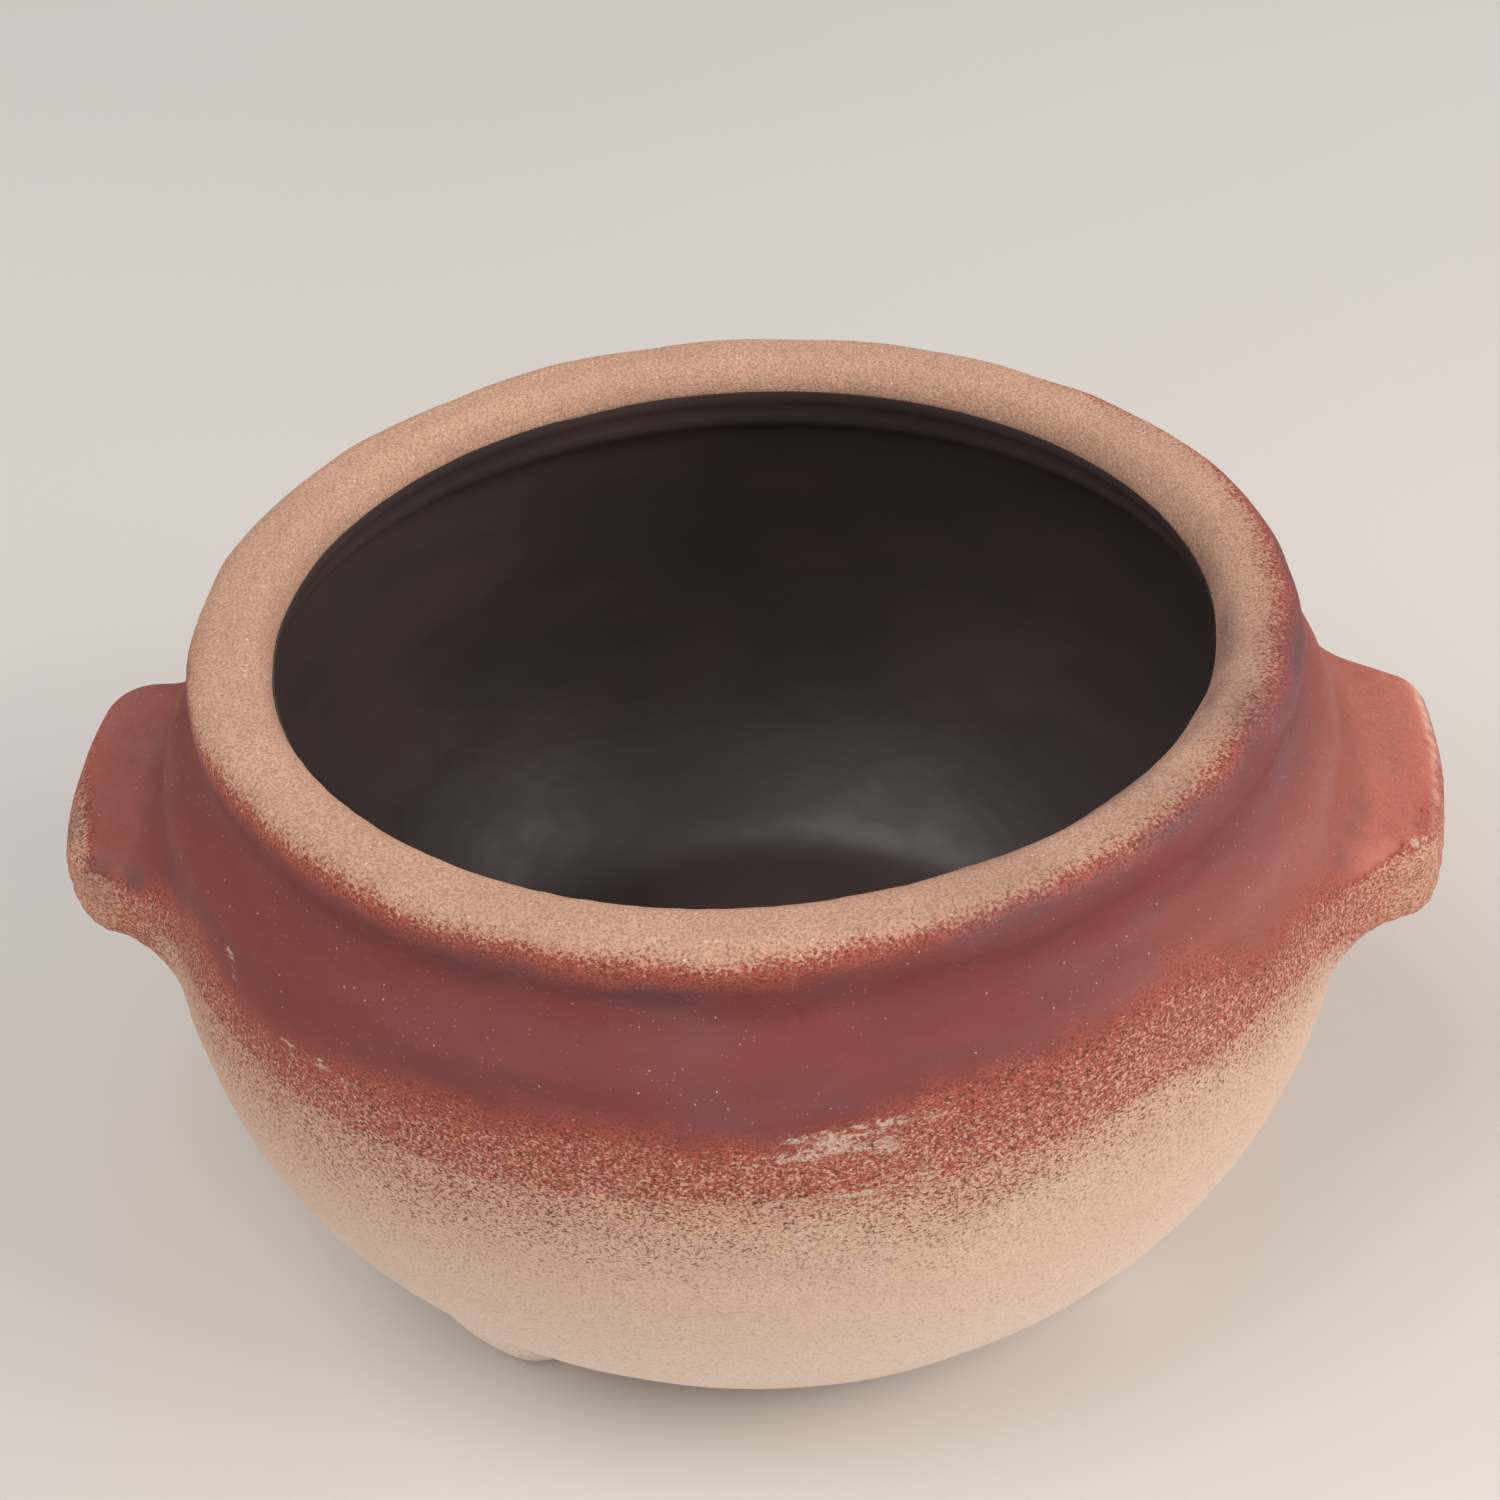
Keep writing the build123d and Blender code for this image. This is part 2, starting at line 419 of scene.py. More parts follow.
STATIONS = (
    Station(-180.0, 104.6, 75.0, 71.2, 52.0),
    Station(-163.0, 105.6, 76.0, 71.2, 50.0),
    Station(-150.0, 106.9, 81.0, 71.2, 50.0),
    Station(-130.0, 107.2, 79.5, 71.0, 50.0),
    Station(-112.0, 105.6, 82.5, 71.0, 52.0),
    Station(-90.0, 106.5, 81.5, 72.5, 56.0),
    Station(-70.0, 107.8, 84.0, 72.2, 57.5),
    Station(-50.0, 110.3, 87.5, 73.6, 62.0),
    Station(-31.0, 111.4, 84.0, 71.0, 60.0),
    Station(-19.0, 112.0, 76.5, 67.0, 57.0),
    Station(20.0, 111.0, 76.5, 73.0, 61.0),
    Station(34.0, 109.8, 84.5, 72.8, 60.0),
    Station(70.0, 107.0, 82.5, 72.2, 56.0),
    Station(130.0, 105.0, 80.5, 71.2, 53.0),
    Station(160.0, 104.8, 76.0, 71.2, 52.0),
)


class ClaySkin:
    """How the fired clay departs from its thrown shape, where its red slip lies, and where light is painted on
    the slip.
    """

    # Shares of slip from the lowest grains up to the full coat: 0.5 covers half of the clay, 0.85 all of it
    least_slip, under_seam_slip, over_seam_slip, upper_slip, full_slip = 0.13, 0.41, 0.53, 0.59, 1.0
    edge_blur, rim_drop = 6.6, 0.8
    # Painted light: how much lighter the full coat is painted towards the right lug, where the light falls
    right_painted_light = 0.36
    browning = (93.0, 100.0)
    # The raised seam, the wall's small step over it and the filled neck crease at the right, in millimetres
    ridge_height, ridge_width, step_height = 0.26, 0.75, 0.12
    crease_fill, crease_height, crease_width = 0.6, 97.0, 3.2

    def __init__(self, sizes: PotSizes) -> None:
        """Draws the waves that the skin is made of.

        Args:
            sizes: The pot's sizes.
        """
        self.sizes = sizes
        self.throwing = Ripples(3, 7.0, (11.0, 11.0, 1.0))
        self.lumps = Ripples(5, 26.0)
        self.dents = Ripples(8, 9.0, (1.6, 1.6, 1.0))
        self.grit = Ripples(13, 2.4, (1.4, 1.4, 1.0))
        self.edge = Ripples(21, 30.0, (1.0, 1.0, 0.6))
        self.rag = Ripples(34, 6.0)
        self.ridge = Ripples(55, 13.0, (1.0, 1.0, 8.0))
        self.lines = Ripples(89, 1.9, (30.0, 30.0, 1.0))

    def lies(self, points: np.ndarray, what: str) -> np.ndarray:
        """Height of one of the slip's bounds, which changes softly round the pot.

        Args:
            points: Points in millimetres.
            what: The bound: edge, full, seam or end.

        Returns:
            Heights in millimetres.
        """
        azimuth = np.degrees(np.arctan2(points[:, 1], points[:, 0]))
        stops = [station.azimuth for station in STATIONS]
        return np.interp(azimuth, stops, [getattr(station, what) for station in STATIONS], period=360.0)

    def seam(self, points: np.ndarray) -> np.ndarray:
        """Height above the luted seam, which wanders and climbs a little towards the right lug.

        Args:
            points: Points in millimetres.

        Returns:
            Height over the seam in millimetres.
        """
        return points[:, 2] - self.lies(points, "seam") - 0.35 * self.ridge.at(points)

    def slip(self, points: np.ndarray) -> np.ndarray:
        """How thickly the red slip lies on the body.

        Args:
            points: Points in millimetres.

        Returns:
            0 on bare clay to 1 under a full coat.
        """
        radius = np.hypot(points[:, 0], points[:, 1])
        wander = 1.0 * self.edge.at(points) + 0.45 * self.rag.at(points)
        height = points[:, 2] + wander
        above = self.seam(points)
        full, seam, end = (self.lies(points, what) for what in ("full", "seam", "end"))
        low = smooth(0.0, 1.0, (height - end) / np.maximum(seam - end, 1.0))
        low = self.least_slip + (self.under_seam_slip - self.least_slip) * low
        low *= smooth(end - 9.0, end + 2.0, height)
        high = smooth(0.0, 1.0, (height - seam - 1.0) / (full - seam - 4.0))
        high = self.over_seam_slip + (self.upper_slip - self.over_seam_slip) * high
        high += (self.full_slip - self.upper_slip) * smooth(full - 4.5, full + 5.5, height)
        step = smooth(-0.9, 0.9, above)
        over = points[:, 2] + 0.6 * wander + self.rim_drop * (self.sizes.rim - radius) - self.lies(points, "edge")
        return (low * (1.0 - step) + high * step) * smooth(self.edge_blur, -self.edge_blur, over)

    @staticmethod
    def rightward(points: np.ndarray) -> np.ndarray:
        """How far points lie towards the right lug.

        Args:
            points: Points in millimetres.

        Returns:
            1 towards the right lug to -1 towards the left one.
        """
        return points[:, 0] / np.maximum(np.hypot(points[:, 0], points[:, 1]), 1.0)

    def painted_light(self, points: np.ndarray) -> np.ndarray:
        """Painted light on the full coat below the neck: lighter towards the right lug, where the light falls.

        Args:
            points: Points in millimetres.

        Returns:
            0 to 1.
        """
        right = smooth(0.4, 1.0, self.rightward(points))
        return self.right_painted_light * right * smooth(98.0, 90.0, points[:, 2])

    def push(self, points: np.ndarray) -> np.ndarray:
        """How far the clay stands off its thrown shape.

        Args:
            points: Points in millimetres.

        Returns:
            Distance outwards in millimetres.
        """
        height = points[:, 2]
        above = self.seam(points)
        bare = 1.0 - self.slip(points)
        dents = self.dents.at(points)
        push = 0.09 * self.lumps.at(points) + 0.045 * self.throwing.at(points) + 0.022 * dents
        push += 0.022 * bare * smooth(6.0, 40.0, height) * self.grit.at(points)
        ridge = np.clip(0.8 + 0.5 * self.ridge.at(points), 0.15, 1.8)
        push += self.ridge_height * ridge * np.exp(-(above / self.ridge_width) ** 2)
        push += self.step_height * smooth(-0.4, 0.8, above) * smooth(14.0, 3.0, above)
        right = smooth(0.2, 0.8, self.rightward(points))
        push += self.crease_fill * right * np.exp(-((height - self.crease_height) / self.crease_width) ** 2)
        # On the crown the turning lines run round the mouth, so that they follow the radius
        rings = np.column_stack([points[:, :2], 4.0 * np.hypot(points[:, 0], points[:, 1])])
        push += smooth(102.0, 106.0, height) * (0.035 * dents + 0.025 * self.lines.at(rings))
        for mark in MARKS["push"]:
            push += mark.strength * mark.cover(points)
        return push

    def marked(self, points: np.ndarray, kind: str) -> np.ndarray:
        """Where the marks of one kind lie.

        Args:
            points: Points in millimetres.
            kind: The kind: the rubbed marks, or the greyed marks with their painted shade.

        Returns:
            0 to 1.
        """
        most = np.zeros(len(points))
        for mark in MARKS[kind]:
            most = np.maximum(most, mark.strength * mark.cover(points))
        return most


@dataclass
class Shape:
    """A closed mesh with what its finish needs to know of each point.

    Attributes:
        points: Points in millimetres.
        faces: Faces as rows of point numbers, three or four each.
        slip: How thickly the slip lies, 0 to 1.
        painted_light: Light painted on the full coat where the light falls, 0 to 1, and above 1 a pale painted
            highlight.
        tan: How brown the bare clay is, 0 for the pale bowl to 1 for the rim.
        skin: The clay skin, which knows where the surface is rubbed, greyed or darkened with painted shade.
    """

    crease = 50.0

    points: np.ndarray
    faces: list[tuple[int, ...]]
    slip: np.ndarray
    painted_light: np.ndarray
    tan: np.ndarray
    skin: ClaySkin

    def build(self, name: str, node: str, slot: Slot, material: bpy.types.Material) -> bpy.types.Object:
        """Makes the object and ties it to the frame.

        Args:
            name: The object's name.
            node: The frame's node that it stands for.
            slot: The record's slot of its finish; not used.
            material: The finish.

        Returns:
            The object.
        """
        mesh = bpy.data.meshes.new(name)
        mesh.from_pydata((self.points * MM).tolist(), [], self.faces)
        mesh.validate()
        mesh.update()
        shares = {"slip": self.slip, "painted_light": self.painted_light, "tan": self.tan}
        shares |= {kind: self.skin.marked(self.points, kind) for kind in ("scuff", "smoke_and_shade")}
        for label, values in shares.items():
            mesh.attributes.new(label, "FLOAT", "POINT").data.foreach_set("value", values.astype(np.float32))
        mesh.polygons.foreach_set("use_smooth", np.ones(len(mesh.polygons), dtype=bool))
        mesh.set_sharp_from_angle(angle=math.radians(self.crease))
        mesh.materials.append(material)
        thing = bpy.data.objects.new(name, mesh)
        bpy.context.scene.collection.objects.link(thing)
        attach(thing, "root")
        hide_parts(node)
        LOG.info("%s: %d points, %d faces", name, len(mesh.vertices), len(mesh.polygons))
        return thing


def turned(loop: np.ndarray, normal: np.ndarray, shown: np.ndarray, skin: ClaySkin,
           closed: bool, steps: int) -> Shape:
    """Turns a half outline round the pot's axis and lets the clay skin act on its shown rows.

    Args:
        loop: Rows of radius and height. An open loop starts and ends on the axis.
        normal: Direction outwards of each row.
        shown: How much of the skin's unevenness each row takes.
        skin: The clay skin.
        closed: Whether the last row joins the first.
        steps: Number of steps round the pot.

    Returns:
        The turned shape.
    """
    turn = np.linspace(0.0, 2.0 * math.pi, steps, endpoint=False)
    heading = np.column_stack([np.cos(turn), np.sin(turn)])
    rows, starts, total = [], [], 0
    for (radius, height), (out, up), weight in zip(loop, normal, shown):
        ring = heading if radius > TOUCH else np.zeros((1, 2))
        base = np.column_stack([ring * radius, np.full(len(ring), height)])
        if weight > 0.0:
            push = skin.push(base)[:, None] * weight
            base = base + push * np.column_stack([ring * out, np.full(len(ring), up)])
        rows.append(base)
        starts.append(total)
        total += len(ring)
    faces = []
    ends = range(len(loop) if closed else len(loop) - 1)
    for low, high in ((row, (row + 1) % len(loop)) for row in ends):
        a, b = starts[low], starts[high]
        for step in range(steps):
            following = (step + 1) % steps
            if len(rows[low]) == 1:
                faces.append((a, b + step, b + following)[::-1])
            elif len(rows[high]) == 1:
                faces.append((a + step, b, a + following)[::-1])
            else:
                faces.append((a + step, a + following, b + following, b + step))
    points = np.vstack(rows)
    tan = smooth(*skin.browning, points[:, 2])
    return Shape(points, faces, skin.slip(points), skin.painted_light(points), tan, skin)


class Body:
    """The thrown body: bowl, shoulder and rim, with the glaze that lines them."""

    # Steps round the pot, and distances between points in millimetres
    steps = 760
    fine, coarse, roll_spacing, lip_spacing, lining_spacing = 0.75, 2.6, 0.55, 0.4, 1.6
    lip_run, lip_thinning = 3.0, 0.75

    def __init__(self, sizes: PotSizes, skin: ClaySkin) -> None:
        """Draws the outlines.

        Args:
            sizes: The pot's sizes.
            skin: The clay skin.
        """
        profile = Profile(sizes)
        self.sizes = sizes
        self.skin = skin
        self.outside = profile.outside()
        self.bare = profile.hollow(0.0)
        self.glazed = profile.hollow(sizes.glaze)
        self.crown = int(np.argmax(self.outside[:, 1]))

    def ring(self, parts: list[tuple[np.ndarray, float, float]], closed: bool) -> Shape:
        """Joins stretches of outline into a loop and turns it.

        Args:
            parts: Stretches of outline, each with its spacing and its share of unevenness.
            closed: Whether the loop is closed.

        Returns:
            The turned shape.
        """
        rows = []
        for line, spacing, weight in parts:
            line = even(line, spacing)
            ahead = np.gradient(line, axis=0)
            ahead /= np.hypot(*ahead.T)[:, None]
            row = np.column_stack([line, ahead[:, 1], -ahead[:, 0], np.full(len(line), weight)])
            rows.append(row[1:] if rows else row)
        loop = np.vstack(rows)
        loop = loop[:-1] if closed else loop
        return turned(loop[:, :2], loop[:, 2:4], loop[:, 4], self.skin, closed, self.steps)

    def bowl(self) -> Shape:
        """The moulded bowl with its floor, up to the luted seam.

        Returns:
            The bowl's shape.
        """
        sizes = self.sizes
        flat = self.outside[self.outside[:, 1] <= sizes.base_height + TOUCH]
        side = cut(self.outside[len(flat) - 1:self.crown], None, sizes.seam_height)
        inner = cut(self.bare, None, sizes.seam_height + sizes.seam_bevel)[::-1]
        bevel = np.vstack([side[-1], inner[0]])
        return self.ring([(flat, self.coarse, 1.0), (side, self.fine, 1.0), (bevel, self.coarse, 0.0),
                          (inner, self.coarse, 0.0)], False)

    def shoulder(self) -> Shape:
        """The upper wall between the seam and the neck.

        Returns:
            The shoulder's shape.
        """
        sizes = self.sizes
        side = cut(self.outside[:self.crown], sizes.seam_height, sizes.neck_height)
        inner = cut(self.bare, sizes.seam_height + sizes.seam_bevel, sizes.neck_height)[::-1]
        top, bevel = np.vstack([side[-1], inner[0]]), np.vstack([inner[-1], side[0]])
        return self.ring([(side, self.fine, 1.0), (top, self.coarse, 0.0), (inner, self.coarse, 0.0),
                          (bevel, self.coarse, 0.0)], True)

    def rim(self) -> Shape:
        """The rolled rim.

        Returns:
            The rim's shape.
        """
        sizes = self.sizes
        roll = np.vstack([cut(self.outside[:self.crown], sizes.neck_height, None), self.outside[self.crown:]])
        inner = cut(self.bare, sizes.neck_height, None)[::-1]
        under = np.vstack([inner[-1], roll[0]])
        return self.ring([(roll, self.roll_spacing, 1.0), (inner, self.coarse, 0.0),
                          (under, self.coarse, 0.0)], True)

    def lining(self) -> Shape:
        """The glaze inside, from the floor to the lip's foot.

        Returns:
            The lining's shape.
        """
        shown = even(self.glazed, self.lining_spacing / 2)
        top = shown[-1, 1]
        shown[:, 0] += self.lip_thinning * self.sizes.glaze * smooth(top - self.lip_run, top, shown[:, 1])
        lip = np.vstack([self.bare[-1], shown[-1]])
        return self.ring([(self.bare, self.coarse, 0.0), (lip, self.lip_spacing, 0.0),
                          (shown[::-1], self.lining_spacing, 0.0)], False)


class BodyField:
    """Distance from the filled outside of the body, looked up in a table that is worked out once."""

    # The table's step and its bounds in millimetres
    step = 0.5
    widest, lowest, highest = 126.0, -6.0, 116.0

    def __init__(self, outside: np.ndarray) -> None:
        """Works out the table.

        Args:
            outside: The outside's outline, from the base's centre to the lip's foot.
        """
        line = np.vstack([even(outside, 0.8), [[0.0, outside[-1, 1]]]])
        self.low = np.array([0.0, self.lowest])
        radii = np.arange(0.0, self.widest, self.step)
        heights = np.arange(self.lowest, self.highest, self.step)
        grid = np.stack(np.meshgrid(radii, heights, indexing="ij"), axis=-1).reshape(-1, 2)
        best = np.full(len(grid), np.inf)
        inside = np.zeros(len(grid), dtype=bool)
        for start, end in zip(line[:-1], line[1:]):
            run = end - start
            share = np.clip((grid - start) @ run / (run @ run), 0.0, 1.0)
            best = np.minimum(best, np.hypot(*(grid - start - share[:, None] * run).T))
            if start[1] != end[1]:
                crosses = (grid[:, 1] >= min(start[1], end[1])) & (grid[:, 1] < max(start[1], end[1]))
                at = start[0] + (grid[:, 1] - start[1]) / (end[1] - start[1]) * run[0]
                inside ^= crosses & (grid[:, 0] < at)
        self.table = np.where(inside, -best, best).reshape(len(radii), len(heights))

    def at(self, points: np.ndarray) -> np.ndarray:
        """Distance from the body's outside.

        Args:
            points: Points in millimetres.

        Returns:
            Distances in millimetres, negative inside.
        """
        place = np.column_stack([np.hypot(points[:, 0], points[:, 1]), points[:, 2]])
        place = (place - self.low) / self.step
        place = np.clip(place, 0.0, np.array(self.table.shape) - 1.001)
        cell = place.astype(int)
        share = place - cell
        i, j = cell.T
        low = self.table[i, j] * (1 - share[:, 0]) + self.table[i + 1, j] * share[:, 0]
        high = self.table[i, j + 1] * (1 - share[:, 0]) + self.table[i + 1, j + 1] * share[:, 0]
        return low * (1 - share[:, 1]) + high * share[:, 1]


def join(first: np.ndarray, second: np.ndarray, radius: float) -> np.ndarray:
    """Joins two solids' distances with a hollow rounding.

    Args:
        first: Distances from the first solid.
        second: Distances from the second solid.
        radius: Radius of the rounding.

    Returns:
        Distances from both together.
    """
    reach = np.hypot(np.maximum(radius - first, 0.0), np.maximum(radius - second, 0.0))
    return np.maximum(radius, np.minimum(first, second)) - reach


def trim(first: np.ndarray, second: np.ndarray, radius: float) -> np.ndarray:
    """Keeps what two solids share, with a rounded edge.

    Args:
        first: Distances from the first solid.
        second: Distances from the second solid.
        radius: Radius of the rounding.

    Returns:
        Distances from the shared part.
    """
    reach = np.hypot(np.maximum(radius + first, 0.0), np.maximum(radius + second, 0.0))
    return np.minimum(-radius, np.maximum(first, second)) + reach


class Luted:
    """A lump of clay that is luted on the body. Its skin is found along fans of rays from inside the body."""

    # How deep the lump and its seat reach into the body, and the step that its slope is measured over
    sink, seat, nudge = 0.12, 1.5, 0.4
    looks, halvings = 60, 18

    def __init__(self, field: BodyField, skin: ClaySkin) -> None:
        """Keeps what the lump is luted on.

        Args:
            field: Distance from the body.
            skin: The clay skin.
        """
        self.field = field
        self.skin = skin

    def solid(self, points: np.ndarray) -> np.ndarray:
        """Distance from the lump joined to the body.

        Args:
            points: Points in millimetres.

        Returns:
            Distances in millimetres.
        """
        raise NotImplementedError

    def hit(self, start: np.ndarray, heading: np.ndarray, distance: Callable, reach: float) -> np.ndarray:
        """Where rays leave a solid.

        Args:
            start: Start of each ray, inside the solid.
            heading: Direction of each ray, of length 1.
            distance: Gives the distance from the solid at points.
            reach: Length of ray that is searched.

        Returns:
            The points where the rays leave.
        """
        low, high = np.zeros(len(start)), np.full(len(start), reach)
        for run in np.linspace(0.0, reach, self.looks)[1:]:
            out = (distance(start + heading * run) > 0.0) & (high == reach)
            low = np.where((high == reach) & ~out, run, low)
            high = np.where(out, run, high)
        for _ in range(self.halvings):
            middle = (low + high) / 2
            out = distance(start + heading * middle[:, None]) > 0.0
            low, high = np.where(out, low, middle), np.where(out, middle, high)
        return start + heading * ((low + high) / 2)[:, None]

    def sheet(self, starts: np.ndarray, headings: np.ndarray, rows: int, reach: float) -> tuple:
        """The lump's skin and its seat under it.

        Args:
            starts: Start of each fan.
            headings: Directions of each fan's rays.
            rows: Number of points along each fan's run over the skin.
            reach: Length of ray that is searched.

        Returns:
            Skin points and seat points, each as fans of rows.
        """
        fans, rays = headings.shape[:2]
        ends = self.hit(np.repeat(starts, rays, axis=0), headings.reshape(-1, 3), self.solid, reach)
        ends = ends.reshape(fans, rays, 3)
        front = np.empty((fans, rows, 3))
        for fan, line in enumerate(ends):
            run = np.concatenate([[0.0], np.cumsum(np.linalg.norm(np.diff(line, axis=0), axis=1))])
            places = np.linspace(0.0, run[-1], rows)
            front[fan] = np.column_stack([np.interp(places, run, line[:, axis]) for axis in range(3)])
        origin = np.repeat(starts, rows, axis=0)
        flat = front.reshape(-1, 3)
        heading = flat - origin
        heading /= np.linalg.norm(heading, axis=1, keepdims=True)
        back = self.hit(origin, heading, lambda points: self.field.at(points) + self.seat, reach)
        gradient = np.column_stack([
            self.solid(flat + offset) - self.solid(flat - offset) for offset in np.eye(3) * self.nudge])
        gradient /= np.maximum(np.linalg.norm(gradient, axis=1, keepdims=True), TOUCH)
        flat = flat + gradient * self.unevenness(flat)[:, None]
        return flat.reshape(front.shape), back.reshape(front.shape)

    def unevenness(self, points: np.ndarray) -> np.ndarray:
        """How far the lump's skin stands off its shape.

        Args:
            points: Points in millimetres.

        Returns:
            Distances outwards in millimetres.
        """
        return self.skin.push(points)


@dataclass(frozen=True)
class LugForm:
    """How one lug was pressed. Lengths are in millimetres.

    Attributes:
        side: 1 for the right lug, -1 for the left one.
        reach: How far its tip stands from the pot's axis.
        lean: How far its tip is turned, in degrees.
        tips: Half widths at the tip, front and back.
        roots: Half widths at the root, front and back.
        corners: Roundings of the tip's corners, front and back.
        middle: Height of its middle.
        thickness: Its thickness.
        slope: How fast it drops or rises outwards.
        edge: Rounding of its long edges.
        bright: How much light is painted on its top, where the light falls, 0 to 1.
        wear: How far the slip is worn off along its tip, 0 to 1.
    """

    side: int
    reach: float
    lean: float
    tips: tuple[float, float]
    roots: tuple[float, float]
    corners: tuple[float, float]
    middle: float
    thickness: float
    slope: float
    edge: float
    bright: float
    wear: float


LUGS = {
    "lug_right": LugForm(
        side=1, reach=109.3, lean=3.5, tips=(22.1, 23.3), roots=(31.9, 33.2), corners=(3.4, 3.9),
        middle=69.7, thickness=15.8, slope=0.05, edge=4.6, bright=0.62, wear=0.1),
    "lug_left": LugForm(
        side=-1, reach=109.8, lean=2.7, tips=(25.1, 25.4), roots=(31.5, 28.8), corners=(5.9, 7.4),
        middle=70.1, thickness=15.9, slope=-0.04, edge=5.7, bright=0.14, wear=0.46),
}


class Lug(Luted):
    """A solid lug handle: a slab with a bowed tip, pressed on the wall and smoothed in at its root."""

    flare = 7.5
    bow_radius = 120.0
    flank_tip, flank_root = 106.0, 88.0
    thick_at = 94.0
    # The fans of rays: where they start, half their row and half their height, and the outer ones' turn
    heart, half_row, half_height, side_turn = 80.0, 15.0, 18.5, 80.0
    row_fans, side_fans, rays, rows, search = 56, 46, 220, 112, 60.0

    def __init__(self, field: BodyField, skin: ClaySkin, form: LugForm) -> None:
        """Places the lug.

        Args:
            field: Distance from the body.
            skin: The clay skin.
            form: How the lug was pressed.
        """
        super().__init__(field, skin)
        self.form = form
        self.side = form.side
        self.middle = form.middle
        self.rough = Ripples(101 + self.side, 3.4, (1.0, 1.0, 1.5))
        self.torn = Ripples(201 + self.side, 1.8)
        self.press = Ripples(301 + self.side, 16.0)

    def outward(self, x: np.ndarray, y: np.ndarray) -> np.ndarray:
        """Distance from the lug's bowed tip.

        Args:
            x: Distances from the pot's axis towards the lug, in millimetres.
            y: Distances along the lug's width.

        Returns:
            Distances in millimetres, negative on the lug.
        """
        lean = math.tan(math.radians(self.form.lean))
        return np.hypot(x - lean * y - (self.form.reach - self.bow_radius), y) - self.bow_radius

    def slab(self, points: np.ndarray) -> np.ndarray:
        """Distance from the lug's slab alone.

        Args:
            points: Points in millimetres.

        Returns:
            Distances in millimetres.
        """
        form = self.form
        x, y, z = points[:, 0] * self.side, points[:, 1], points[:, 2]
        plan = self.outward(x, y)
        for tip, root, corner, way in zip(form.tips, form.roots, form.corners, (-1.0, 1.0)):
            run = np.array([self.flank_tip - self.flank_root, tip - root])
            run /= np.hypot(*run)
            gap = (y * way - root) * run[0] - (x - self.flank_root) * run[1]
            plan = trim(plan, gap, corner)
        level = np.abs(z - form.middle + form.slope * (x - self.thick_at)) - form.thickness / 2
        return trim(plan, level, form.edge)

    def solid(self, points: np.ndarray) -> np.ndarray:
        """Distance from the lug joined to the body.

        Args:
            points: Points in millimetres.

        Returns:
            Distances in millimetres.
        """
        return join(self.slab(points), self.field.at(points) + self.sink, self.flare)

    def unevenness(self, points: np.ndarray) -> np.ndarray:
        """Adds to the body's unevenness the torn clay of the lug's front and underside.

        Args:
            points: Points in millimetres.

        Returns:
            Distances outwards in millimetres.
        """
        away = smooth(0.5, 6.0, self.field.at(points))
        low = smooth(self.middle + 3.0, self.middle - 6.0, points[:, 2])
        push = self.skin.push(points)
        push += away * (0.05 * self.press.at(points) + (0.012 + 0.055 * low) * self.rough.at(points))
        return push + away * low * 0.06 * self.torn.at(points)

    def shape(self) -> Shape:
        """The lug's closed skin.

        Returns:
            The lug's shape.
        """
        bend = np.linspace(0.0, math.radians(self.side_turn), self.side_fans)[1:]
        row = np.linspace(-self.half_row, self.half_row, self.row_fans)
        turn = np.concatenate([-bend[::-1], np.zeros(len(row)), bend])
        across = np.concatenate([np.full(len(bend), row[0]), row, np.full(len(bend), row[-1])])
        starts = np.column_stack([np.full(len(across), self.heart), across, np.full(len(across), self.middle)])
        level = np.column_stack([np.cos(turn), np.sin(turn), np.zeros(len(turn))])
        gap = np.linalg.norm(self.hit(starts, level, self.field.at, self.search) - starts, axis=1)
        steep = np.arctan2(self.half_height, gap)[:, None] * np.linspace(-1.0, 1.0, self.rays)
        rays = np.stack([np.cos(steep) * level[:, :1], np.cos(steep) * level[:, 1:2], np.sin(steep)], axis=-1)
        mirror = np.array([self.side, 1.0, 1.0])
        return self.closed(*self.sheet(starts * mirror, rays * mirror, self.rows, self.search))

    def closed(self, front: np.ndarray, back: np.ndarray) -> Shape:
        """Closes the skin with its seat.

        Args:
            front: Skin points as fans of rows.
            back: Seat points as fans of rows.

        Returns:
            The closed shape with its slip.
        """
        fans, rows = front.shape[:2]
        count = fans * rows
        number = np.arange(count).reshape(fans, rows)
        faces = []
        for fan in range(fans - 1):
            for row in range(rows - 1):
                quad = (number[fan, row], number[fan + 1, row],
                        number[fan + 1, row + 1], number[fan, row + 1])
                faces.append(quad)
                faces.append(tuple(point + count for point in quad[::-1]))
        border = [*number[:, 0], *number[-1, 1:], *number[-2::-1, -1], *number[0, -2:0:-1]]
        for first, second in zip(border, border[1:] + border[:1]):
            faces.append((second, first, first + count, second + count))
        if self.side < 0:
            faces = [face[::-1] for face in faces]
        faces = [tuple(int(point) for point in face) for face in faces]
        points = np.vstack([front.reshape(-1, 3), back.reshape(-1, 3)])
        return Shape(points, faces, *self.coat(points), self.skin)

